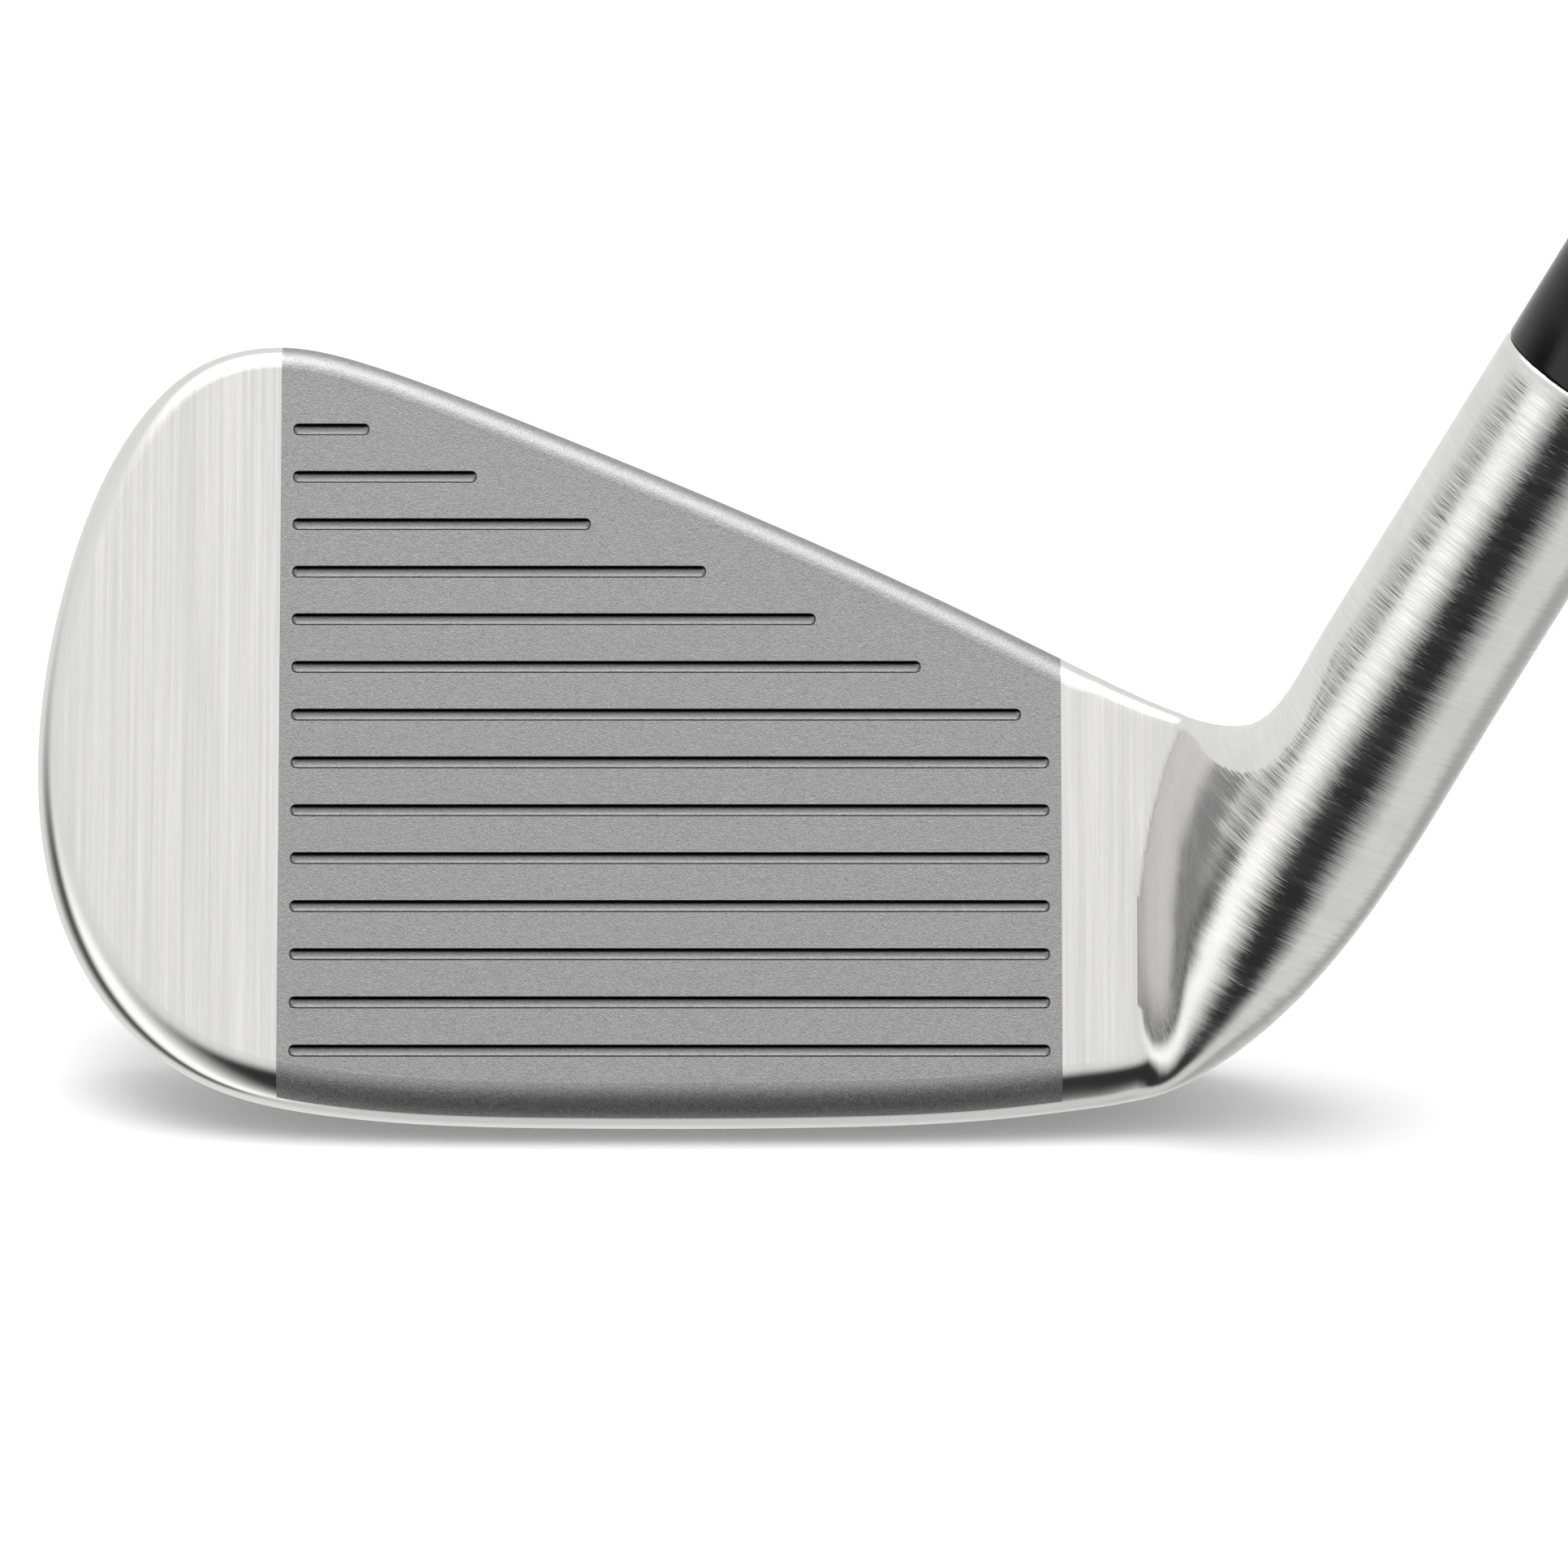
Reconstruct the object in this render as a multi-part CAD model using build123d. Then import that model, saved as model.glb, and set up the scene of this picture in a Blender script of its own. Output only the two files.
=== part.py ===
from build123d import *

import os
from math import cos, radians, sin, sqrt, tan

# A right-handed cavity-back golf iron, built up from its separate pieces, in millimetres.
#
# The club stands as a player addresses the ball: the sole rests on the ground plane z = 0, the face
# looks towards -Y, the toe is at -X, and the shaft leans towards +X. The origin is the point of the
# sole that touches the ground under the middle of the score lines.
#
# The blade is drawn in a frame that lies in the face: u runs from toe to heel, w runs up the face,
# and d is the depth behind it. Pieces on the shaft are placed by their distance along its axis,
# counted from where the axis meets the ground.

# ---------------------------------------------------------------- driving sizes
# angles of the club, in degrees
LOFT = 31.0
LIE = 60.0

# length of the club along the shaft axis, and where the axis meets the ground
CLUB_LENGTH = 940.0
AXIS_X = 33.0
AXIS_Y = -6.1

# sole: front-to-back camber, leading edge radius, and how far forward its centre stands
SOLE_CAMBER = 45.0
LEADING_RADIUS = 2.8
LEADING_FORWARD = 6.6

# outline of the blade in the face, as u and w, from the heel end of the top line round the toe to
# the heel end of the sole
HEEL_U = 31.0
BLADE_TOP_W = 60.8
OUTLINE = [
    (HEEL_U, 36.1),
    (22.1, 40.6),
    (4.4, 48.8),
    (-13.5, 56.3),
    (-22.4, 59.6),
    (-28.3, BLADE_TOP_W),
    (-34.3, 59.5),
    (-40.1, 53.4),
    (-44.1, 43.2),
    (-46.0, 30.3),
    (-43.75, 16.8),
    (-39.6, 10.3),
    (-33.8, 6.0),
    (-25.0, 3.7),
    (-7.3, 2.75),
    (10.3, 2.8),
    (24.0, 3.45),
    (HEEL_U, 4.3),
]
OUTLINE_STATIONS = 44

# thickness of the blade: thin above, and a muscle along the sole
TOP_RADIUS = 2.0
TOP_THICKNESS = 7.0
BACK_TAPER = 0.02
MUSCLE_TOP_W = 19.5
MUSCLE_DEPTH = 14.4
MUSCLE_LEAN = 0.34
MUSCLE_BLEND = 9.0
LIFT_TOP_W = 42.0

# neck: how it leaves the blade and runs into the hosel
NECK_LAP = 0.6
HOSEL_LAP = 0.6
NECK_SHRINK = 0.012
NECK_STEP_IN = 0.03
NECK_END = 42.3
RIDGE_TIP = 9.0
RIDGE_TIP_RADIUS = 3.3
RIDGE_FULL = 24.0
RIDGE_TOP_GAP = 1.3
RIDGE_STEP_IN = 0.1
NECK_SLANT = 1.8
NECK_STEPS = 9
NECK_START_PULL = 0.92
NECK_TOP_START_PULL = 0.8
NECK_END_PULL = 1.22
NECK_TOP_END_EASE = 0.25

# hosel
# Where the corners of the blade's heel section run out on the hosel, in degrees from its toe side,
# and how many points of the section lie on each stretch between them
TURN_BACK_TOP = -30.0
TURN_TOP = 15.0
TURN_FACE_TOP = 40.0
TURN_FACE_FOOT = 140.0
TURN_SOLE = 165.0
TURN_BACK_FOOT = 230.0
FULL_TURN = 360.0
RING_TOP_POINTS = 4
RING_EDGE_POINTS = 5
RING_FACE_POINTS = 10
RING_SOLE_POINTS = 8
RING_BACK_POINTS = 14
SETTLE_ROUNDS = 40
HOSEL_TOP = 65.5
HOSEL_WALL = 2.05
HOSEL_RIM_CHAMFER = 0.35
BORE_DEPTH = 27.0
EPOXY_GAP = 0.1

# face insert and its score lines
INSERT_THICKNESS = 2.4
INSERT_HALF_WIDTH = 28.4
INSERT_RIM = 0.25
SCORE_COUNT = 14
SCORE_PITCH = 3.56
SCORE_WIDTH = 0.8
SCORE_DEPTH = 0.45
SCORE_LOWEST_W = 7.9
SCORE_SIDE_GAP = 0.85
SCORE_TOP_GAP = 6.1
SCORE_GAP_TAPER = 0.08
SCORE_TAPER_U = -12.0

# pocket in the muscle behind the insert, and what fills it
LEDGE = 1.8
POCKET_FRONT_FLOOR_W = 8.4
POCKET_REAR_FLOOR_W = 11.2
POCKET_ROOF_W = 17.5
POCKET_DEPTH = 10.2
TOE_WEIGHT_LENGTH = 15.0
HEEL_WEIGHT_LENGTH = 11.0

# cavity in the back, the window through its floor, and the badge that covers the window
CAVITY_FLOOR = 3.8
CAVITY_FRAME = 4.4
CAVITY_BOTTOM_W = 24.5
CAVITY_HEEL_GAP = 3.0
CORNER_ROOM = 1.0
WINDOW_LEDGE = 1.6
TAPE_THICKNESS = 0.4
BADGE_GAP = 0.5
BADGE_THICKNESS = 1.6
ACCENT_LENGTH = 26.0
ACCENT_WIDTH = 1.8
ACCENT_DEPTH = 0.5
ACCENT_U = -8.0
ACCENT_RISE = 4.0

# ferrule
FERRULE_LENGTH = 25.4
FERRULE_STRAIGHT = 11.0
FERRULE_INSET = 0.08
FERRULE_TOP_WALL = 0.5
FERRULE_EDGE = 0.25

# shaft, its steps, and what is in and on it
TIP_RADIUS = 4.7
BUTT_RADIUS = 7.62
SHAFT_WALL = 0.45
PLAIN_TIP_LENGTH = 156.6
STEP_COUNT = 13
STEP_RUN = 1.6
PLUG_LENGTH = 22.0
BAND_LENGTH = 38.0
BAND_WALL = 0.12
BAND_GRIP_GAP = 3.0
BAND_STEP_GAP = 4.9

# grip
GRIP_LENGTH = 267.0
GRIP_MOUTH_WALL = 1.6
GRIP_MIDDLE_WALL = 3.1
GRIP_UPPER_WALL = 5.1
GRIP_END_WALL = 7.8
GRIP_FLARE_LENGTH = 34.0
GRIP_LIP = 0.6
GRIP_TAPE_WALL = 0.18
CAP_THICKNESS = 5.0
CAP_EDGE = 3.6
VENT_RADIUS = 1.6

# ---------------------------------------------------------------- frames and shared places
SIN_LOFT = sin(radians(LOFT))
COS_LOFT = cos(radians(LOFT))
LEADING_Z = SOLE_CAMBER - sqrt((SOLE_CAMBER - LEADING_RADIUS) ** 2 - LEADING_FORWARD**2)
FACE_TOUCH_Y = -LEADING_FORWARD - LEADING_RADIUS * COS_LOFT
FACE_TOUCH_Z = LEADING_Z + LEADING_RADIUS * SIN_LOFT
FACE_Y = FACE_TOUCH_Y - FACE_TOUCH_Z * tan(radians(LOFT))

# centres of the sole's camber and of the leading edge, in w and d, and where the two meet
CAMBER_W = -FACE_Y * SIN_LOFT + SOLE_CAMBER * COS_LOFT
CAMBER_D = -FACE_Y * COS_LOFT - SOLE_CAMBER * SIN_LOFT
LEADING_W = -(LEADING_FORWARD + FACE_Y) * SIN_LOFT + LEADING_Z * COS_LOFT
LEADING_D = -(LEADING_FORWARD + FACE_Y) * COS_LOFT - LEADING_Z * SIN_LOFT
SOLE_LOW_W = LEADING_W - LEADING_RADIUS
MEET_D = LEADING_D + (LEADING_D - CAMBER_D) * LEADING_RADIUS / (SOLE_CAMBER - LEADING_RADIUS)

FACE_NORMAL = Vector(0, -COS_LOFT, SIN_LOFT)
AXIS_FOOT = Vector(AXIS_X, AXIS_Y, 0)
AXIS_DIRECTION = Vector(cos(radians(LIE)), 0, sin(radians(LIE)))
AXIS_TOEWARD = Vector(-sin(radians(LIE)), 0, cos(radians(LIE)))

SHAFT_START = HOSEL_TOP - BORE_DEPTH
SHAFT_END = CLUB_LENGTH - CAP_THICKNESS
BORE_RADIUS = TIP_RADIUS + EPOXY_GAP
HOSEL_RADIUS = BORE_RADIUS + HOSEL_WALL
GRIP_MOUTH = CLUB_LENGTH - GRIP_LENGTH
BAND_END = GRIP_MOUTH - BAND_GRIP_GAP
BAND_START = BAND_END - BAND_LENGTH
FIRST_STEP = HOSEL_TOP + FERRULE_LENGTH + PLAIN_TIP_LENGTH
LAST_STEP = BAND_START - BAND_STEP_GAP - STEP_RUN
STEP_PITCH = (LAST_STEP - FIRST_STEP) / (STEP_COUNT - 1)
GRIP_BORE_RADIUS = BUTT_RADIUS + GRIP_TAPE_WALL
MUSCLE_FOOT_DEPTH = MUSCLE_DEPTH + MUSCLE_LEAN * MUSCLE_TOP_W


def face_point(u, w, d=0.0):
    """The point u along, w up and d behind the face."""
    return Vector(u, FACE_Y + w * SIN_LOFT + d * COS_LOFT, w * COS_LOFT - d * SIN_LOFT)


def axis_point(along, out=0.0, turn=0.0):
    """The point along the shaft axis and out from it: turn 0 is the toe side and 90 the target side."""
    sideways = AXIS_TOEWARD * cos(radians(turn)) + Vector(0, -1, 0) * sin(radians(turn))
    return AXIS_FOOT + AXIS_DIRECTION * along + sideways * out


def axis_plane(along):
    """The plane square to the shaft axis at that distance."""
    return Plane(origin=axis_point(along), x_dir=AXIS_TOEWARD, z_dir=AXIS_DIRECTION)


def smooth(share):
    """0 below 0, 1 above 1, and an even change between them."""
    held = min(1.0, max(0.0, share))
    return held * held * (3 - 2 * held)


def lowness(w):
    """1 at the sole and 0 from LIFT_TOP_W upwards."""
    return smooth((LIFT_TOP_W - w) / (LIFT_TOP_W - SOLE_LOW_W))


def sole_lift(d):
    """How far the sole at depth d stands above its lowest w."""
    if d <= LEADING_D:
        return 0.0
    if d <= MEET_D:
        return LEADING_RADIUS - sqrt(LEADING_RADIUS**2 - (d - LEADING_D) ** 2)
    return CAMBER_W - sqrt(SOLE_CAMBER**2 - (d - CAMBER_D) ** 2) - SOLE_LOW_W


def quarter_round(d, radius):
    """How far a rounded front edge stands in from the wall at depth d."""
    if d >= radius:
        return 0.0
    return radius - sqrt(radius**2 - (radius - d) ** 2)


def back_depth(w):
    """Depth of the back at height w: the thin upper blade runs down into the muscle."""
    upper = TOP_THICKNESS + BACK_TAPER * (BLADE_TOP_W - w)
    muscle = MUSCLE_DEPTH + MUSCLE_LEAN * (MUSCLE_TOP_W - w)
    if w <= MUSCLE_TOP_W:
        return muscle
    return muscle + (upper - muscle) * smooth((w - MUSCLE_TOP_W) / MUSCLE_BLEND)


# ---------------------------------------------------------------- blade
OUTLINE_CURVE = Spline(*OUTLINE)


def outline_point(share, d=0.0, inset=0.0):
    """A point (u, w) of the blade's outline at depth d, drawn in by inset and by the edge's rounding."""
    place = OUTLINE_CURVE @ share
    along = OUTLINE_CURVE % share
    low = lowness(place.Y)
    radius = TOP_RADIUS + (LEADING_RADIUS - TOP_RADIUS) * low
    step = quarter_round(d, radius) + inset
    sideways = 0.0 if share in (0.0, 1.0) else -along.Y * step
    return place.X + sideways, place.Y + along.X * step + sole_lift(d) * low


def outline(d=0.0, inset=0.0):
    """The blade's outline at depth d, from the top line round the toe to the sole."""
    return [outline_point(i / OUTLINE_STATIONS, d, inset) for i in range(OUTLINE_STATIONS + 1)]


def blade_slice(d):
    """A wire round the blade at depth d, closed by a straight line at the heel."""
    points = [face_point(u, w, d) for u, w in outline(d)]
    return Wire([Edge.make_spline(points), Edge.make_line(points[-1], points[0])])


def blade_block():
    """The blade from the flat face back to the deepest place of the muscle."""
    edge = [LEADING_RADIUS * share for share in (0.0, 0.04, 0.14, 0.32, 0.6, 1.0)]
    body = [LEADING_RADIUS + (MUSCLE_FOOT_DEPTH - LEADING_RADIUS) * i / 6 for i in range(1, 7)]
    return Solid.make_loft([blade_slice(d) for d in edge + body])


def back_cutter():
    """All that lies behind the back of the blade."""
    margin = 20.0
    far = MUSCLE_FOOT_DEPTH + margin
    low = SOLE_LOW_W - margin
    high = BLADE_TOP_W + margin
    side = OUTLINE[9][0] - margin
    blend_top = MUSCLE_TOP_W + MUSCLE_BLEND
    heights = [MUSCLE_TOP_W + MUSCLE_BLEND * i / 8 for i in range(9)]
    up = [face_point(0, 1, -lean) - face_point(0, 0, 0) for lean in (MUSCLE_LEAN, BACK_TAPER)]
    corners = [
        face_point(side, blend_top, back_depth(blend_top)),
        face_point(side, high, back_depth(high)),
        face_point(side, high, far),
        face_point(side, low, far),
        face_point(side, low, back_depth(low)),
        face_point(side, MUSCLE_TOP_W, MUSCLE_DEPTH),
    ]
    curve = Edge.make_spline([face_point(side, w, back_depth(w)) for w in heights], tangents=up)
    lines = [Edge.make_line(start, end) for start, end in zip(corners, corners[1:])]
    return extrude(Face(Wire([curve, *lines])), amount=HEEL_U - side + margin, dir=(1, 0, 0))


# ---------------------------------------------------------------- neck and hosel
def heel_ring():
    """The section of the blade where the neck starts, as (w, d, turn on the hosel) in two stretches:
    over the top, down the face and under the sole, and then up the back."""
    top, bottom = OUTLINE[0][1], OUTLINE[-1][1]
    trailing = MUSCLE_DEPTH
    for _ in range(SETTLE_ROUNDS):
        trailing = back_depth(bottom + sole_lift(trailing) * lowness(bottom))
    trailing_w = bottom + sole_lift(trailing) * lowness(bottom)
    top_depth = back_depth(top)
    front = []
    for i in range(RING_TOP_POINTS):
        share = i / RING_TOP_POINTS
        d = top_depth + (TOP_RADIUS - top_depth) * share
        front.append((top, d, TURN_BACK_TOP + (TURN_TOP - TURN_BACK_TOP) * share))
    for i in range(RING_EDGE_POINTS):
        share = i / RING_EDGE_POINTS
        d = TOP_RADIUS * (1 - share) ** 2
        turn = TURN_TOP + (TURN_FACE_TOP - TURN_TOP) * share
        front.append((top - quarter_round(d, TOP_RADIUS), d, turn))
    for i in range(RING_FACE_POINTS + 1):
        share = i / RING_FACE_POINTS
        high, low = top - TOP_RADIUS, bottom + LEADING_RADIUS
        turn = TURN_FACE_TOP + (TURN_FACE_FOOT - TURN_FACE_TOP) * share
        front.append((high + (low - high) * share, 0.0, turn))
    for i in range(1, RING_EDGE_POINTS + 1):
        share = i / RING_EDGE_POINTS
        d = LEADING_RADIUS * share**2
        lift = quarter_round(d, LEADING_RADIUS) + sole_lift(d)
        front.append((bottom + lift, d, TURN_FACE_FOOT + (TURN_SOLE - TURN_FACE_FOOT) * share))
    for i in range(1, RING_SOLE_POINTS + 1):
        share = i / RING_SOLE_POINTS
        d = LEADING_D + (trailing - LEADING_D) * share
        turn = TURN_SOLE + (TURN_BACK_FOOT - TURN_SOLE) * share
        front.append((bottom + sole_lift(d) * lowness(bottom), d, turn))
    rear = []
    for i in range(RING_BACK_POINTS + 1):
        share = i / RING_BACK_POINTS
        w = trailing_w + (top - trailing_w) * share
        turn = TURN_BACK_FOOT + (FULL_TURN + TURN_BACK_TOP - TURN_BACK_FOOT) * share
        rear.append((w, back_depth(w), turn))
    return front, rear


def neck_point(w, d, turn, share):
    """A point of the neck between the blade's section, at share 0, and the hosel, at share 1."""
    top, bottom = OUTLINE[0][1], OUTLINE[-1][1]
    rise_top = (OUTLINE_CURVE % 0.0).Y / (OUTLINE_CURVE % 0.0).X
    rise_bottom = (OUTLINE_CURVE % 1.0).Y / (OUTLINE_CURVE % 1.0).X
    height = (w - bottom) / (top - bottom)
    rise = rise_bottom + (rise_top - rise_bottom) * height
    middle_w = (top + bottom) / 2
    middle_d = TOP_THICKNESS / 2
    w_start = middle_w + (w - middle_w) * (1 - NECK_SHRINK) - rise * NECK_LAP
    d_start = middle_d + (d - middle_d) * (1 - NECK_SHRINK)
    start = face_point(HEEL_U - NECK_LAP, w_start, d_start)
    end = axis_point(NECK_END - NECK_SLANT * cos(radians(turn)), HOSEL_RADIUS - NECK_STEP_IN, turn)
    span = (end - start).length
    topness = (1 + cos(radians(turn))) / 2
    forward = (face_point(1, rise, 0) - face_point(0, 0, 0)).normalized()
    leave = forward * (span * (NECK_START_PULL + NECK_TOP_START_PULL * topness))
    arrive = AXIS_DIRECTION * (span * (NECK_END_PULL - NECK_TOP_END_EASE * topness))
    s = share
    return (
        start * (2 * s**3 - 3 * s**2 + 1)
        + leave * (s**3 - 2 * s**2 + s)
        + end * (3 * s**2 - 2 * s**3)
        + arrive * (s**3 - s**2)
    )


def ring_parameters(points):
    """Where each point lies along the curve through them, from 0 to 1, by distance."""
    reached = [0.0]
    for start, end in zip(points, points[1:]):
        reached.append(reached[-1] + (end - start).length)
    return [distance / reached[-1] for distance in reached]


def neck_block():
    """The neck, solid, from just inside the blade's heel to just inside the hosel."""
    front, rear = heel_ring()
    rear[0] = front[-1]
    rear[-1] = (front[0][0], front[0][1], front[0][2] + 360)
    curves = []
    for stretch in (front, rear):
        spacing = ring_parameters([neck_point(w, d, turn, 0.5) for w, d, turn in stretch])
        shares = [i / NECK_STEPS for i in range(NECK_STEPS + 1)]
        rings = [[neck_point(w, d, turn, share) for w, d, turn in stretch] for share in shares]
        curves.append([Edge.make_spline(ring, parameters=spacing) for ring in rings])
    return Solid.make_loft([Wire(list(edges)) for edges in zip(*curves)])


def hosel_tube():
    """The hosel, solid, cut off below on the slant that the neck ends on."""
    slant = AXIS_DIRECTION + AXIS_TOEWARD * (NECK_SLANT / HOSEL_RADIUS)
    cut = Plane(origin=axis_point(NECK_END - HOSEL_LAP), z_dir=slant)
    start = NECK_END - 2 * (NECK_SLANT + HOSEL_LAP)
    bar = Solid.make_cylinder(HOSEL_RADIUS, HOSEL_TOP - start, plane=axis_plane(start))
    rim = bar.edges().sort_by(Axis(axis_point(0), AXIS_DIRECTION))[-1]
    return split(chamfer(rim, HOSEL_RIM_CHAMFER), bisect_by=cut, keep=Keep.TOP)


def neck_ridge():
    """The round of the hosel carried on down the front of the neck, tapered to a domed tip."""
    radius = HOSEL_RADIUS - RIDGE_STEP_IN
    plane = axis_plane(RIDGE_TIP)
    taper = Solid.make_cone(RIDGE_TIP_RADIUS, radius, RIDGE_FULL - RIDGE_TIP, plane=plane)
    tip = Pos(axis_point(RIDGE_TIP)) * Sphere(RIDGE_TIP_RADIUS)
    return along_axis(radius, RIDGE_FULL, NECK_END - RIDGE_TOP_GAP) + taper + tip


def into_head(face, length):
    """A block that runs back from a flat face by that length."""
    return extrude(face, amount=length, dir=-FACE_NORMAL)


# ---------------------------------------------------------------- openings in the head
def outline_height(u, inset, upper):
    """The w of the outline at u, drawn in by inset, on its upper or its lower side."""
    points = outline(0.0, inset)
    half = min(range(len(points)), key=lambda i: points[i][0])
    side = points[: half + 1][::-1] if upper else points[half:]
    for (u0, w0), (u1, w1) in zip(side, side[1:]):
        if u0 <= u <= u1:
            return w0 + (w1 - w0) * (u - u0) / (u1 - u0)
    return side[-1][1]


def upper_edge(start_u, end_u, inset):
    """Points (u, w) under the top line, from start_u to end_u, drawn in from the outline by inset."""
    count = 12
    places = [start_u + (end_u - start_u) * i / count for i in range(count + 1)]
    return [(u, outline_height(u, inset, True)) for u in places]


def lower_edge(start_u, end_u, inset):
    """Points (u, w) over the leading edge, from start_u to end_u, drawn in from the outline by inset."""
    count = 6
    places = [start_u + (end_u - start_u) * i / count for i in range(count + 1)]
    return [(u, outline_height(u, inset, False)) for u in places]


def bounded(top, bottom, d):
    """A flat face at depth d between a curved top, a curved bottom and two straight sides."""
    upper = [face_point(u, w, d) for u, w in top]
    lower = [face_point(u, w, d) for u, w in bottom]
    edges = [
        Edge.make_spline(upper),
        Edge.make_line(upper[-1], lower[0]),
        Edge.make_spline(lower) if len(lower) > 2 else Edge.make_line(*lower),
        Edge.make_line(lower[-1], upper[0]),
    ]
    return Face(Wire(edges))


def insert_blank():
    """The plate of the face insert, before its score lines are cut."""
    half = INSERT_HALF_WIDTH
    top = upper_edge(-half, half, TOP_RADIUS + INSERT_RIM)
    bottom = lower_edge(half, -half, LEADING_RADIUS + INSERT_RIM)
    return into_head(bounded(top, bottom, 0.0), INSERT_THICKNESS)


def window_block(start, end):
    """The opening behind the insert, from depth start to depth end."""
    half = INSERT_HALF_WIDTH - LEDGE
    top = upper_edge(-half, half, TOP_RADIUS + INSERT_RIM + LEDGE)
    low = CAVITY_BOTTOM_W + WINDOW_LEDGE
    return into_head(bounded(top, [(half, low), (-half, low)], start), end - start)


def cavity_outline(d, gap):
    """A flat face at depth d across the cavity in the back, drawn in from its walls by gap."""
    inset = CAVITY_FRAME + gap
    points = outline(0.0, inset)
    low = CAVITY_BOTTOM_W + gap
    heel = HEEL_U - CAVITY_HEEL_GAP - gap
    curve = [(u, w) for u, w in points if u < heel - CORNER_ROOM and w > low + CORNER_ROOM]
    toe = min(range(len(curve)), key=lambda i: curve[i][0])
    start = (heel, outline_height(heel, inset, True))
    falling = zip(points[toe:], points[toe + 1 :])
    (u0, w0), (u1, w1) = next(pair for pair in falling if pair[1][1] < low)
    end = (u0 + (u1 - u0) * (low - w0) / (w1 - w0), low)
    path = [face_point(u, w, d) for u, w in [start, *curve, end]]
    corner = face_point(heel, low, d)
    edges = [Edge.make_spline(path), Edge.make_line(path[-1], corner), Edge.make_line(corner, path[0])]
    return Face(Wire(edges))


def pocket_block(start_u, end_u):
    """The pocket in the muscle, between two places along the face."""
    rear = INSERT_THICKNESS + POCKET_DEPTH
    corners = [
        face_point(start_u, POCKET_FRONT_FLOOR_W, INSERT_THICKNESS),
        face_point(start_u, POCKET_REAR_FLOOR_W, rear),
        face_point(start_u, POCKET_ROOF_W, rear),
        face_point(start_u, POCKET_ROOF_W, INSERT_THICKNESS),
    ]
    face = Face(Wire.make_polygon(corners, close=True))
    return extrude(face, amount=end_u - start_u, dir=(1, 0, 0))


def along_axis(radius, start, end):
    """A round bar on the shaft axis between two distances along it."""
    return Solid.make_cylinder(radius, end - start, plane=axis_plane(start))


def turned(profile):
    """A solid turned about the shaft axis from (radius, distance along the axis) corners."""
    corners = [axis_point(along, radius) for radius, along in profile]
    face = Face(Wire.make_polygon(corners, close=True))
    return revolve(face, Axis(axis_point(0), AXIS_DIRECTION))


# ---------------------------------------------------------------- pieces of the head
POCKET_HALF = INSERT_HALF_WIDTH - LEDGE


def head_body():
    """The cast head: blade, neck and bored hosel, opened for the insert, the pocket and the cavity."""
    blade = blade_block() - back_cutter()
    head = blade + neck_block() + hosel_tube() + neck_ridge()
    head -= insert_blank()
    head -= window_block(INSERT_THICKNESS, CAVITY_FLOOR)
    head -= into_head(cavity_outline(CAVITY_FLOOR, 0.0), MUSCLE_FOOT_DEPTH)
    head -= pocket_block(-POCKET_HALF, POCKET_HALF)
    head -= along_axis(BORE_RADIUS, SHAFT_START, HOSEL_TOP + HOSEL_RADIUS)
    return head


def score_end(w):
    """The heel end of the score line at height w, short of the insert's side or the top line."""
    points = [(u, edge_w) for u, edge_w in outline() if edge_w > w]
    for (u0, w0), (u1, w1) in zip(points, points[1:]):
        room0 = w0 - w - SCORE_TOP_GAP + SCORE_GAP_TAPER * max(0.0, SCORE_TAPER_U - u0)
        room1 = w1 - w - SCORE_TOP_GAP + SCORE_GAP_TAPER * max(0.0, SCORE_TAPER_U - u1)
        if room0 < 0 <= room1:
            return u0 + (u1 - u0) * room0 / (room0 - room1)
    return INSERT_HALF_WIDTH


def score_line(w):
    """The cutter of one score line at height w: a shallow groove with round ends."""
    start = -INSERT_HALF_WIDTH + SCORE_SIDE_GAP
    end = min(score_end(w), INSERT_HALF_WIDTH - SCORE_SIDE_GAP)
    plane = Plane(origin=face_point((start + end) / 2, w), x_dir=(1, 0, 0), z_dir=FACE_NORMAL)
    return extrude(plane * SlotOverall(end - start, SCORE_WIDTH), amount=SCORE_DEPTH, both=True)


def face_insert():
    """The face insert with its score lines."""
    insert = insert_blank()
    for i in range(SCORE_COUNT):
        insert -= score_line(SCORE_LOWEST_W + SCORE_PITCH * i)
    return insert


def toe_weight():
    """Tungsten block at the toe end of the pocket."""
    return pocket_block(-POCKET_HALF, -POCKET_HALF + TOE_WEIGHT_LENGTH)


def damping_core():
    """Soft core between the two weights."""
    return pocket_block(-POCKET_HALF + TOE_WEIGHT_LENGTH, POCKET_HALF - HEEL_WEIGHT_LENGTH)


def heel_weight():
    """Tungsten block at the heel end of the pocket."""
    return pocket_block(POCKET_HALF - HEEL_WEIGHT_LENGTH, POCKET_HALF)


def face_damper():
    """Elastomer pad that fills the window against the back of the insert."""
    return window_block(INSERT_THICKNESS, CAVITY_FLOOR)


def bond_tape():
    """Foam tape that holds the badge on the cavity's floor."""
    return into_head(cavity_outline(CAVITY_FLOOR, BADGE_GAP), TAPE_THICKNESS)


def accent_slot():
    """The slot in the badge, as a block with round ends."""
    rear = CAVITY_FLOOR + TAPE_THICKNESS + BADGE_THICKNESS
    middle = face_point(ACCENT_U, CAVITY_BOTTOM_W + ACCENT_RISE, rear)
    plane = Plane(origin=middle, x_dir=(1, 0, 0), z_dir=FACE_NORMAL)
    return extrude(plane * SlotOverall(ACCENT_LENGTH, ACCENT_WIDTH), amount=ACCENT_DEPTH)


def cavity_badge():
    """Thin badge that covers the cavity's floor, with a slot for the accent bar."""
    front = CAVITY_FLOOR + TAPE_THICKNESS
    return into_head(cavity_outline(front, BADGE_GAP), BADGE_THICKNESS) - accent_slot()


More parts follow.
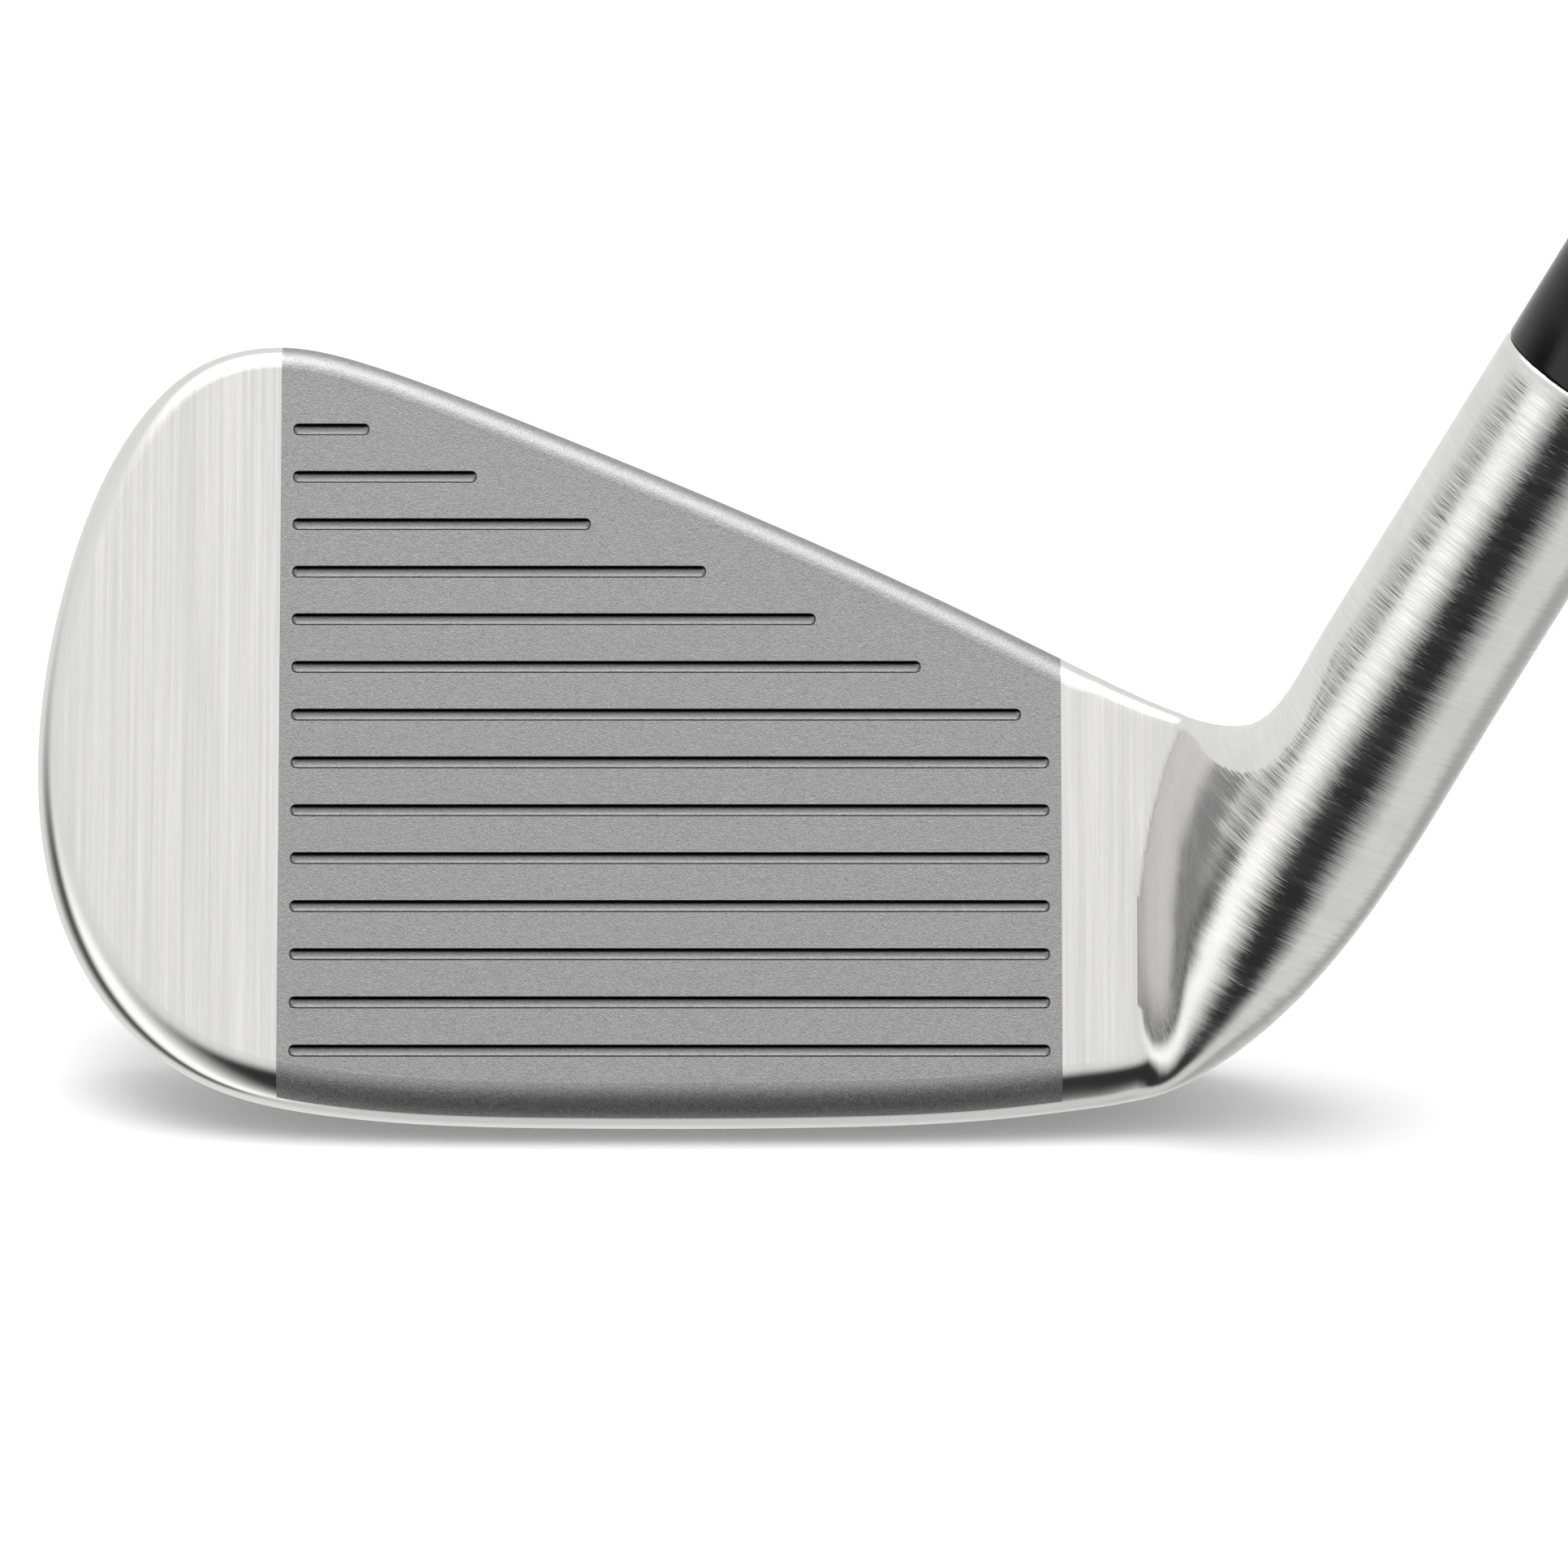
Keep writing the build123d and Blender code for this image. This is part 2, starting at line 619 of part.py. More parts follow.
# ---------------------------------------------------------------- ferrule, shaft and what is in them
def hosel_epoxy():
    """The glue line between the shaft and the hosel's bore."""
    inside = along_axis(TIP_RADIUS, SHAFT_START, HOSEL_TOP)
    return along_axis(BORE_RADIUS, SHAFT_START, HOSEL_TOP) - inside


def ferrule():
    """Ferrule: straight at the hosel, then a hollow taper up to the shaft."""
    base = HOSEL_RADIUS - FERRULE_INSET
    top = TIP_RADIUS + FERRULE_TOP_WALL
    neck = HOSEL_TOP + FERRULE_STRAIGHT
    end = HOSEL_TOP + FERRULE_LENGTH
    foot = axis_point(HOSEL_TOP, base - FERRULE_EDGE)
    edge = axis_point(HOSEL_TOP + FERRULE_EDGE, base)
    taper = [axis_point(neck, base), axis_point((neck + end) / 2, (base + top) / 2), axis_point(end, top)]
    lines = [
        Edge.make_line(axis_point(HOSEL_TOP, TIP_RADIUS), foot),
        Edge.make_line(foot, edge),
        Edge.make_line(edge, taper[0]),
        Edge.make_spline(taper, tangents=[AXIS_DIRECTION, AXIS_DIRECTION]),
        Edge.make_line(axis_point(end, top), axis_point(end, TIP_RADIUS)),
        Edge.make_line(axis_point(end, TIP_RADIUS), axis_point(HOSEL_TOP, TIP_RADIUS)),
    ]
    return revolve(Face(Wire(lines)), Axis(axis_point(0), AXIS_DIRECTION))


def shaft_profile(offset):
    """The stepped outside of the shaft, drawn in by offset, as (radius, distance along the axis)."""
    corners = [(TIP_RADIUS - offset, SHAFT_START)]
    for i in range(STEP_COUNT):
        along = FIRST_STEP + i * STEP_PITCH
        before = TIP_RADIUS + (BUTT_RADIUS - TIP_RADIUS) * i / STEP_COUNT
        after = TIP_RADIUS + (BUTT_RADIUS - TIP_RADIUS) * (i + 1) / STEP_COUNT
        corners += [(before - offset, along), (after - offset, along + STEP_RUN)]
    corners.append((BUTT_RADIUS - offset, SHAFT_END))
    return corners


def shaft():
    """The stepped steel tube, from the bottom of the hosel's bore to under the grip's cap."""
    return turned(shaft_profile(0.0) + shaft_profile(SHAFT_WALL)[::-1])


def tip_weight():
    """Brass plug in the tip of the shaft."""
    return along_axis(TIP_RADIUS - SHAFT_WALL, SHAFT_START, SHAFT_START + PLUG_LENGTH)


def shaft_band():
    """Plain printed sleeve on the shaft below the grip."""
    outer = along_axis(BUTT_RADIUS + BAND_WALL, BAND_START, BAND_END)
    return outer - along_axis(BUTT_RADIUS, BAND_START, BAND_END)


# ---------------------------------------------------------------- grip
def grip_tape():
    """Double-sided tape between the shaft and the grip."""
    outer = along_axis(GRIP_BORE_RADIUS, GRIP_MOUTH, SHAFT_END)
    return outer - along_axis(BUTT_RADIUS, GRIP_MOUTH, SHAFT_END)


def grip_sleeve():
    """The rubber grip: slim at the mouth, and flared to the cap."""
    flare = SHAFT_END - GRIP_FLARE_LENGTH
    middle = (GRIP_MOUTH + SHAFT_END) / 2
    outside = [
        axis_point(GRIP_MOUTH + GRIP_LIP, GRIP_BORE_RADIUS + GRIP_MOUTH_WALL),
        axis_point(middle, GRIP_BORE_RADIUS + GRIP_MIDDLE_WALL),
        axis_point(flare, GRIP_BORE_RADIUS + GRIP_UPPER_WALL),
        axis_point(SHAFT_END, GRIP_BORE_RADIUS + GRIP_END_WALL),
    ]
    lip = axis_point(GRIP_MOUTH, GRIP_BORE_RADIUS + GRIP_MOUTH_WALL - GRIP_LIP)
    mouth = axis_point(GRIP_MOUTH, GRIP_BORE_RADIUS)
    butt = axis_point(SHAFT_END, GRIP_BORE_RADIUS)
    edges = [
        Edge.make_spline(outside),
        Edge.make_line(outside[-1], butt),
        Edge.make_line(butt, mouth),
        Edge.make_line(mouth, lip),
        Edge.make_line(lip, outside[0]),
    ]
    return revolve(Face(Wire(edges)), Axis(axis_point(0), AXIS_DIRECTION))


def grip_cap():
    """The cap that closes the butt end, with its vent hole."""
    cap = along_axis(GRIP_BORE_RADIUS + GRIP_END_WALL, SHAFT_END, CLUB_LENGTH)
    rim = cap.edges().sort_by(Axis(axis_point(0), AXIS_DIRECTION))[-1]
    return fillet(rim, CAP_EDGE) - along_axis(VENT_RADIUS, SHAFT_END, CLUB_LENGTH)


PIECES = [
    head_body,
    face_insert,
    toe_weight,
    damping_core,
    heel_weight,
    face_damper,
    bond_tape,
    cavity_badge,
    ferrule,
    hosel_epoxy,
    shaft,
    tip_weight,
    shaft_band,
    grip_tape,
    grip_sleeve,
    grip_cap,
]

if __name__ == "__main__":
    os.makedirs("parts", exist_ok=True)
    for piece in PIECES:
        export_step(piece(), f"parts/{piece.__name__}.step")
    export_step(accent_slot(), "parts/accent_bar.step")
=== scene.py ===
import bmesh
import bpy
import numpy as np
from math import cos, pi, radians, sin, sqrt, tan
from mathutils import Matrix, Vector
from mathutils.geometry import delaunay_2d_cdt


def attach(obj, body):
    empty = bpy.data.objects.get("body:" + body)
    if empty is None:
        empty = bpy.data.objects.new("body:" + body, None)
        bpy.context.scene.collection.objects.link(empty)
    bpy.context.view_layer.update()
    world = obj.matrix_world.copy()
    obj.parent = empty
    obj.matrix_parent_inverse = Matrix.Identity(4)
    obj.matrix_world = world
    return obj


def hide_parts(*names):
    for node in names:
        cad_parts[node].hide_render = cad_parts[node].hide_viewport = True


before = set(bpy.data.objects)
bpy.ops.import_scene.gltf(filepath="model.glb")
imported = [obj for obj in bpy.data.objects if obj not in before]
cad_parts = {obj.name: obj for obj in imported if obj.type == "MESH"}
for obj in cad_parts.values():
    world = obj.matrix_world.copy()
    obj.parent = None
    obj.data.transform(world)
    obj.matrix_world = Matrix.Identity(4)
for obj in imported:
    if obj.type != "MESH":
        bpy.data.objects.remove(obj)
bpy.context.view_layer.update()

bl_info = {
    "name": "Iron golf club",
    "version": (1, 0, 0),
    "blender": (4, 5, 0),
    "location": "View3D > Sidebar > Golf iron",
    "description": "Builds the head, ferrule, shaft and grip of an iron, and the stage it stands on",
    "category": "Object",
}

MM = 0.001

# ---------------------------------------------------------------- sizes of the club, in millimetres
LOFT = radians(31.0)
LIE = radians(60.0)
AXIS_FOOT = np.array([33.0, -6.1, 0.0])
AXIS = np.array([cos(LIE), 0.0, sin(LIE)])
TOEWARD = np.array([-sin(LIE), 0.0, cos(LIE)])
FORWARD = np.array([0.0, -1.0, 0.0])

SOLE_CAMBER = 45.0
LEADING_RADIUS = 2.8
LEADING_FORWARD = 6.6
LEADING_Z = SOLE_CAMBER - sqrt((SOLE_CAMBER - LEADING_RADIUS) ** 2 - LEADING_FORWARD**2)
FACE_Y = (
    -LEADING_FORWARD
    - LEADING_RADIUS * cos(LOFT)
    - (LEADING_Z + LEADING_RADIUS * sin(LOFT)) * tan(LOFT)
)
CAMBER_W = -FACE_Y * sin(LOFT) + SOLE_CAMBER * cos(LOFT)
CAMBER_D = -FACE_Y * cos(LOFT) - SOLE_CAMBER * sin(LOFT)
LEADING_W = -(LEADING_FORWARD + FACE_Y) * sin(LOFT) + LEADING_Z * cos(LOFT)
LEADING_D = -(LEADING_FORWARD + FACE_Y) * cos(LOFT) - LEADING_Z * sin(LOFT)
SOLE_LOW_W = LEADING_W - LEADING_RADIUS
MEET_D = LEADING_D + (LEADING_D - CAMBER_D) * LEADING_RADIUS / (SOLE_CAMBER - LEADING_RADIUS)

HEEL_U = 31.0
BLADE_TOP_W = 60.8
OUTLINE = [
    (HEEL_U, 36.1), (22.1, 40.6), (4.4, 48.8), (-13.5, 56.3), (-22.4, 59.6), (-28.3, BLADE_TOP_W),
    (-34.3, 59.5), (-40.1, 53.4), (-44.1, 43.2), (-46.0, 30.3), (-43.75, 16.8), (-39.6, 10.3),
    (-33.8, 6.0), (-25.0, 3.7), (-7.3, 2.75), (10.3, 2.8), (24.0, 3.45), (HEEL_U, 4.3),
]
TOP_RADIUS = 2.0
TOP_THICKNESS = 7.0
BACK_TAPER = 0.02
MUSCLE_TOP_W = 19.5
MUSCLE_DEPTH = 14.4
MUSCLE_LEAN = 0.34
MUSCLE_BLEND = 9.0
LIFT_TOP_W = 42.0

HOSEL_TOP = 65.5
HOSEL_RADIUS = 6.85
BORE_RADIUS = 4.8
BORE_DEPTH = 27.0
TIP_RADIUS = 4.7
BUTT_RADIUS = 7.62
CLUB_LENGTH = 940.0
SHAFT_START = HOSEL_TOP - BORE_DEPTH
FERRULE_LENGTH = 25.4
GRIP_LENGTH = 267.0
GRIP_BORE = 7.8
CAP_THICKNESS = 5.0
SHAFT_END = CLUB_LENGTH - CAP_THICKNESS
GRIP_MOUTH = CLUB_LENGTH - GRIP_LENGTH

INSERT_HALF = 28.4
INSERT_RIM = 0.25
INSERT_THICKNESS = 2.4
LEDGE = 1.8
CAVITY_FLOOR = 3.8
CAVITY_FRAME = 4.4
CAVITY_BOTTOM_W = 24.5
CAVITY_HEEL_GAP = 3.0
WINDOW_LEDGE = 1.6
TAPE_THICKNESS = 0.4
BADGE_GAP = 0.5
BADGE_THICKNESS = 1.6
SCORE_PITCH = 3.56
SCORE_COUNT = 14
SCORE_LOWEST_W = 7.9
SCORE_SIDE_GAP = 0.85
SCORE_TOP_GAP = 6.1
POCKET_MOUTH_W = 8.4
POCKET_INNER_W = 11.2
POCKET_TOP_W = 17.5
POCKET_DEPTH = 10.2
CAVITY_CHAMFER = 0.35
CORNER_RADIUS = 2.2
BACK_SPACING = (1.5, 0.75)
BACK_MARGIN = 0.7

FERRULE_PLAIN = 11.0
FERRULE_STEP_IN = 0.08
FERRULE_TOP_WALL = 0.5
FERRULE_BORE_GAP = 0.02
FERRULE_ROUND = 0.25
GRIP_SLACK = 0.18
GRIP_LIP = 0.6
GRIP_WALLS = (1.6, 3.1, 5.1, 7.8)
GRIP_FLARE = 34.0


# ---------------------------------------------------------------- the blade's shape
def face_point(u, w, d=0.0):
    """The point u along, w up and d behind the face, in millimetres."""
    u, w, d = np.broadcast_arrays(np.asarray(u, float), np.asarray(w, float), np.asarray(d, float))
    return np.stack([u, FACE_Y + w * sin(LOFT) + d * cos(LOFT), w * cos(LOFT) - d * sin(LOFT)], -1)


def axis_point(along, out=0.0, turn=0.0):
    """The point along the shaft axis and out from it: turn 0 is the toe side, 90 degrees the target side."""
    along, out, turn = np.broadcast_arrays(np.asarray(along, float), np.asarray(out, float), np.radians(turn))
    sideways = np.multiply.outer(np.cos(turn), TOEWARD) + np.multiply.outer(np.sin(turn), FORWARD)
    return AXIS_FOOT + np.multiply.outer(along, AXIS) + sideways * out[..., None]


def smooth(share):
    """0 below 0, 1 above 1, and an even change between them."""
    held = np.clip(share, 0.0, 1.0)
    return held * held * (3 - 2 * held)


def lowness(w):
    """1 at the sole and 0 high on the blade."""
    return smooth((LIFT_TOP_W - w) / (LIFT_TOP_W - SOLE_LOW_W))


def sole_lift(d):
    """How far the sole at depth d stands above its lowest w."""
    near = LEADING_RADIUS - np.sqrt(np.maximum(LEADING_RADIUS**2 - (d - LEADING_D) ** 2, 0.0))
    far = CAMBER_W - np.sqrt(SOLE_CAMBER**2 - (d - CAMBER_D) ** 2) - SOLE_LOW_W
    return np.where(d <= LEADING_D, 0.0, np.where(d <= MEET_D, near, far))


def back_depth(w):
    """Depth of the back at height w."""
    upper = TOP_THICKNESS + BACK_TAPER * (BLADE_TOP_W - w)
    muscle = MUSCLE_DEPTH + MUSCLE_LEAN * (MUSCLE_TOP_W - w)
    share = smooth((w - MUSCLE_TOP_W) / MUSCLE_BLEND)
    return np.where(w <= MUSCLE_TOP_W, muscle, muscle + (upper - muscle) * share)


class CubicLine:
    """A smooth line through a few points, evaluated by share of its length."""

    def __init__(self, points):
        self.points = np.array(points, float)
        steps = np.linalg.norm(np.diff(self.points, axis=0), axis=1)
        self.knots = np.concatenate([[0.0], np.cumsum(steps)]) / steps.sum()
        count = len(points)
        gaps = np.diff(self.knots)
        system = np.zeros((count, count))
        right = np.zeros((count, self.points.shape[1]))
        system[0, 0] = system[-1, -1] = 1.0
        for i in range(1, count - 1):
            system[i, i - 1 : i + 2] = gaps[i - 1], 2 * (gaps[i - 1] + gaps[i]), gaps[i]
            slopes = np.diff(self.points[i - 1 : i + 2], axis=0) / gaps[i - 1 : i + 1, None]
            right[i] = 6 * (slopes[1] - slopes[0])
        self.bends = np.linalg.solve(system, right)

    def at(self, share):
        """Point and direction at each share."""
        share = np.atleast_1d(share)
        i = np.clip(np.searchsorted(self.knots, share, side="right") - 1, 0, len(self.knots) - 2)
        gap = (self.knots[i + 1] - self.knots[i])[:, None]
        a = (self.knots[i + 1] - share)[:, None] / gap
        b = 1 - a
        p0, p1, m0, m1 = self.points[i], self.points[i + 1], self.bends[i], self.bends[i + 1]
        place = a * p0 + b * p1 + ((a**3 - a) * m0 + (b**3 - b) * m1) * gap**2 / 6
        along = (p1 - p0) / gap + (-(3 * a**2 - 1) * m0 + (3 * b**2 - 1) * m1) * gap / 6
        return place, along / np.linalg.norm(along, axis=1)[:, None]


OUTLINE_LINE = CubicLine(OUTLINE)


def outline(inset=0.0, count=180):
    """The blade's outline in the face, drawn in by inset, from the top line round the toe to the sole."""
    place, along = OUTLINE_LINE.at(np.linspace(0, 1, count + 1))
    inward = np.stack([-along[:, 1], along[:, 0]], 1)
    inward[[0, -1], 0] = 0.0
    return place + inward * inset


def upper_w(u, inset):
    """The w of the top line at u, drawn in by inset."""
    points = outline(inset)
    half = int(np.argmin(points[:, 0]))
    return np.interp(u, points[: half + 1, 0][::-1], points[: half + 1, 1][::-1])


def lower_w(u, inset):
    """The w of the leading edge at u, drawn in by inset."""
    points = outline(inset)
    half = int(np.argmin(points[:, 0]))
    return np.interp(u, points[half:, 0], points[half:, 1])


# ---------------------------------------------------------------- mesh helpers
NOT_GIVEN = {"front": 2.0}


class Sheets:
    """Collects sheets of points in millimetres, each with values for the piece's point attributes."""

    def __init__(self, *names):
        self.names = names
        self.points = []
        self.faces = []
        self.values = {name: [] for name in names}

    def add(self, points, faces, **values):
        start = len(self.points)
        self.points.extend(map(tuple, points))
        self.faces.extend(tuple(start + i for i in face) for face in faces)
        for name in self.names:
            given = np.broadcast_to(values.get(name, NOT_GIVEN.get(name, 0.0)), (len(points),))
            self.values[name].extend(float(v) for v in given)

    def grid(self, rows, closed=False, **values):
        """A sheet through rows of points. Closed joins the last point of each row to its first."""
        rows = np.asarray(rows, float)
        count, width = rows.shape[:2]
        faces = []
        for i in range(count - 1):
            for j in range(width if closed else width - 1):
                k = (j + 1) % width
                faces.append((i * width + j, i * width + k, (i + 1) * width + k, (i + 1) * width + j))
        flat = {name: np.broadcast_to(value, (count, width)).reshape(-1) for name, value in values.items()}
        self.add(rows.reshape(-1, 3), faces, **flat)

    def build(self, name, weld=2e-6, sharp=35.0, flat_normals=()):
        """One closed, welded mesh object with outward normals and sharp creases."""
        mesh = bpy.data.meshes.new(name)
        mesh.from_pydata([tuple(c * MM for c in p) for p in self.points], [], self.faces)
        for key in self.names:
            mesh.attributes.new(key, "FLOAT", "POINT").data.foreach_set("value", self.values[key])
        work = bmesh.new()
        work.from_mesh(mesh)
        bmesh.ops.remove_doubles(work, verts=work.verts, dist=weld)
        bmesh.ops.dissolve_degenerate(work, dist=weld, edges=work.edges)
        bmesh.ops.recalc_face_normals(work, faces=work.faces)
        for face in work.faces:
            face.smooth = True
        limit = cos(radians(sharp))
        for edge in work.edges:
            if len(edge.link_faces) != 2:
                edge.smooth = False
                continue
            first, second = (face.normal for face in edge.link_faces)
            edge.smooth = first.dot(second) > limit
            for normal in flat_normals:
                on_first = first.dot(normal) > 0.999999
                on_second = second.dot(normal) > 0.999999
                if on_first != on_second:
                    edge.smooth = False
        open_edges = sum(1 for edge in work.edges if len(edge.link_faces) != 2)
        print(name, "faces", len(work.faces), "open edges", open_edges)
        work.to_mesh(mesh)
        work.free()
        item = bpy.data.objects.new(name, mesh)
        bpy.context.scene.collection.objects.link(item)
        return item


def inside(points, loop):
    """Which of the points lie inside a closed loop."""
    x, y = points[:, 0], points[:, 1]
    hit = np.zeros(len(points), bool)
    for (x0, y0), (x1, y1) in zip(loop, np.roll(loop, -1, axis=0)):
        crosses = (y0 > y) != (y1 > y)
        with np.errstate(divide="ignore", invalid="ignore"):
            at = (x1 - x0) * (y - y0) / (y1 - y0) + x0
        hit ^= crosses & (x < at)
    return hit


def fill(outer, holes=(), extra=None):
    """Triangles of the flat region inside outer and outside holes, all loops of (u, w) points."""
    loops = [np.asarray(outer, float)] + [np.asarray(hole, float) for hole in holes]
    coords = np.concatenate(loops + ([extra] if extra is not None and len(extra) else []))
    edges = []
    start = 0
    for loop in loops:
        size = len(loop)
        edges += [(start + i, start + (i + 1) % size) for i in range(size)]
        start += size
    verts, _, faces, *_ = delaunay_2d_cdt([Vector(c) for c in coords], edges, [], 0, 1e-6)
    verts = np.array([tuple(v) for v in verts])
    faces = np.array(faces)
    middles = verts[faces].mean(axis=1)
    keep = inside(middles, loops[0])
    for hole in loops[1:]:
        keep &= ~inside(middles, hole)
    return verts, faces[keep]


def plane_loop(top, bottom):
    """A closed (u, w) loop along a top edge and back along a bottom edge."""
    return np.concatenate([np.asarray(top, float), np.asarray(bottom, float)])


# ---------------------------------------------------------------- loops cut in the head
def insert_loop(gap=0.0):
    """The insert's outline, clockwise from its upper toe corner."""
    half = INSERT_HALF - gap
    u = np.linspace(-half, half, 60)
    top = np.stack([u, upper_w(u, TOP_RADIUS + INSERT_RIM + gap)], 1)
    low = np.stack([u, lower_w(u, LEADING_RADIUS + INSERT_RIM + gap)], 1)[::-1]
    return plane_loop(top, low)


def window_loop():
    """The opening behind the insert."""
    half = INSERT_HALF - LEDGE
    low = CAVITY_BOTTOM_W + WINDOW_LEDGE
    u = np.linspace(-half, half, 40)
    top = np.stack([u, upper_w(u, TOP_RADIUS + INSERT_RIM + LEDGE)], 1)
    return plane_loop(top, np.stack([u[::-1], np.full(len(u), low)], 1))


def with_crossings(loop, other):
    """The loop with a point added wherever it crosses the other loop."""
    points = []
    for start, end in zip(loop, np.roll(loop, -1, axis=0)):
        points.append(start)
        step = end - start
        shares = []
        for first, last in zip(other, np.roll(other, -1, axis=0)):
            side = last - first
            gap = first - start
            turn = step[0] * side[1] - step[1] * side[0]
            if abs(turn) < 1e-12:
                continue
            share = (gap[0] * side[1] - gap[1] * side[0]) / turn
            across = (gap[0] * step[1] - gap[1] * step[0]) / turn
            if 0 < share < 1 and 0 < across < 1:
                shares.append(share)
        points += [start + step * share for share in sorted(shares)]
    return np.array(points)


def pocket_loops():
    """The pocket in the muscle, at its mouth and at its bottom."""
    half = INSERT_HALF - LEDGE
    top = [(-half, POCKET_TOP_W), (half, POCKET_TOP_W)]
    return [np.array([(-half, low), *top, (half, low)]) for low in (POCKET_MOUTH_W, POCKET_INNER_W)]


def cavity_loop(gap=0.0, corner=0.0):
    """The cavity in the back, drawn in from its walls by gap, with rounded lower corners."""
    inset = CAVITY_FRAME + gap
    points = outline(inset, 240)
    low = CAVITY_BOTTOM_W + gap
    heel = HEEL_U - CAVITY_HEEL_GAP - gap
    keep = (points[:, 0] < heel - 0.05) & (points[:, 1] > low)
    curve = points[keep]
    start = np.array([[heel, upper_w(heel, inset)]])
    toe = points[np.argmin(points[:, 0]) :]
    cut = toe[:, 1][::-1]
    end = np.array([[np.interp(low, cut, toe[:, 0][::-1]), low]])
    loop = np.concatenate([start, curve, end, [[heel, low]]])
    if not corner:
        return loop
    return round_corners(loop, [len(loop) - 2, len(loop) - 1, 0], CORNER_RADIUS - min(gap, 1.2))


def round_corners(loop, which, radius):
    """The loop with the named corners turned into arcs."""
    points = []
    size = len(loop)
    for i in range(size):
        if i not in which:
            points.append(loop[i])
            continue
        before = loop[i - 1] - loop[i]
        after = loop[(i + 1) % size] - loop[i]
        reach_a = min(radius, np.linalg.norm(before) * 0.9)
        reach_b = min(radius, np.linalg.norm(after) * 0.9)
        a = loop[i] + before / np.linalg.norm(before) * reach_a
        b = loop[i] + after / np.linalg.norm(after) * reach_b
        for share in np.linspace(0, 1, 7):
            points.append((1 - share) ** 2 * a + 2 * share * (1 - share) * loop[i] + share**2 * b)
    return np.array(points)


# ---------------------------------------------------------------- the head's outer skin
FRONT_ROWS = 14
WALL_ROWS = 14
BACK_ROWS = 5
BACK_ROUND = 1.1
BAND_COLUMNS = 260
FRONT_POINTS = 44
BACK_POINTS = 34
NECK_RINGS = 70
HOSEL_RINGS = 18
NECK_END = 42.3
NECK_SLANT = 1.8
RIDGE_ALONG = [0.0, 4.0, 8.0, 12.0, 16.0, 20.0, 24.0, 28.0]
RIDGE_RADIUS = [0.6, 2.0, 3.3, 4.6, 5.7, 6.4, 6.8, 6.85]
HOSEL_LOW = 41.0
TURN_BACK_TOP = -30
TURN_TOP = 15
TURN_FACE_TOP = 40
TURN_FACE_FOOT = 140
TURN_SOLE = 165
TURN_BACK_FOOT = 230
FULL_TURN = 360
NECK_PULL = 0.92
NECK_TOP_PULL = 0.8
HOSEL_PULL = 1.22
HOSEL_TOP_PULL = 0.25
RIDGE_TURNS = ((12.0, 28.0), (182.0, 34.0))
RIDGE_BLEND = 12.0
RIDGE_START = 0.16
HOLLOW_SMALL = 0.5
HOLLOW_WIDE = 2.3
HOLLOW_FROM = 6.0
HOLLOW_MIN = 0.02
RIM_ROUND = 0.35
HOSEL_RIM = ((0.2, 6.78), (0.06, 6.66), (0.0, 6.5), (0.0, 4.95))


def band_rows():
    """The wrap round the blade's edge: rows from the flat face, over the rounding and the wall, to the back.
    Returns u, w, d and the angle of the front rounding, each as rows by columns."""
    place, along = OUTLINE_LINE.at(np.linspace(0, 1, BAND_COLUMNS + 1))
    inward = np.stack([-along[:, 1], along[:, 0]], 1)
    inward[[0, -1], 0] = 0.0
    low = lowness(place[:, 1])
    radius = TOP_RADIUS + (LEADING_RADIUS - TOP_RADIUS) * low
    deep = np.full(len(place), 10.0)
    for _ in range(60):
        w = place[:, 1] + inward[:, 1] * BACK_ROUND + sole_lift(deep) * low
        deep = back_depth(w)
    rows = []
    for i in range(FRONT_ROWS + 1):
        angle = pi / 2 * i / FRONT_ROWS
        rows.append((radius * (1 - cos(angle)), radius * (1 - sin(angle)), angle))
    wall = deep - BACK_ROUND
    for i in range(1, WALL_ROWS + 1):
        rows.append((radius + (wall - radius) * i / WALL_ROWS, 0 * radius, pi / 2))
    for i in range(1, BACK_ROWS + 1):
        angle = pi / 2 * i / BACK_ROWS
        rows.append((wall + BACK_ROUND * sin(angle), BACK_ROUND * (1 - cos(angle)) + 0 * radius, pi / 2))
    u, w, d, turned = [], [], [], []
    for depth, inset, angle in rows:
        u.append(place[:, 0] + inward[:, 0] * inset)
        w.append(place[:, 1] + inward[:, 1] * inset + sole_lift(depth) * low)
        d.append(depth)
        turned.append(np.full(len(place), angle))
    return np.array(u), np.array(w), np.array(d), np.array(turned), low


def neck_start(u, w, d):
    """The heel section as one ring of (w, d, turn on the hosel), from the back's top corner over the top."""
    over_front = np.arange(FRONT_ROWS + 1) / FRONT_ROWS
    over_wall = np.arange(1, WALL_ROWS + BACK_ROWS + 1) / (WALL_ROWS + BACK_ROWS)

    def turns(face, edge, back):
        return np.concatenate([face + (edge - face) * over_front, edge + (back - edge) * over_wall])

    top = np.stack([w[:, 0], d[:, 0], turns(TURN_FACE_TOP, TURN_TOP, TURN_BACK_TOP)], 1)[::-1]
    sole = np.stack([w[:, -1], d[:, -1], turns(TURN_FACE_FOOT, TURN_SOLE, TURN_BACK_FOOT)], 1)
    share = np.arange(1, FRONT_POINTS) / FRONT_POINTS
    turn = TURN_FACE_TOP + (TURN_FACE_FOOT - TURN_FACE_TOP) * share
    front = np.stack([top[-1, 0] + (sole[0, 0] - top[-1, 0]) * share, 0 * share, turn], 1)
    share = np.arange(1, BACK_POINTS) / BACK_POINTS
    height = sole[-1, 0] + (top[0, 0] - sole[-1, 0]) * share
    turn = TURN_BACK_FOOT + (TURN_BACK_TOP + FULL_TURN - TURN_BACK_FOOT) * share
    back = np.stack([height, back_depth(height), turn], 1)
    return np.concatenate([top, front, sole, back]), front, back


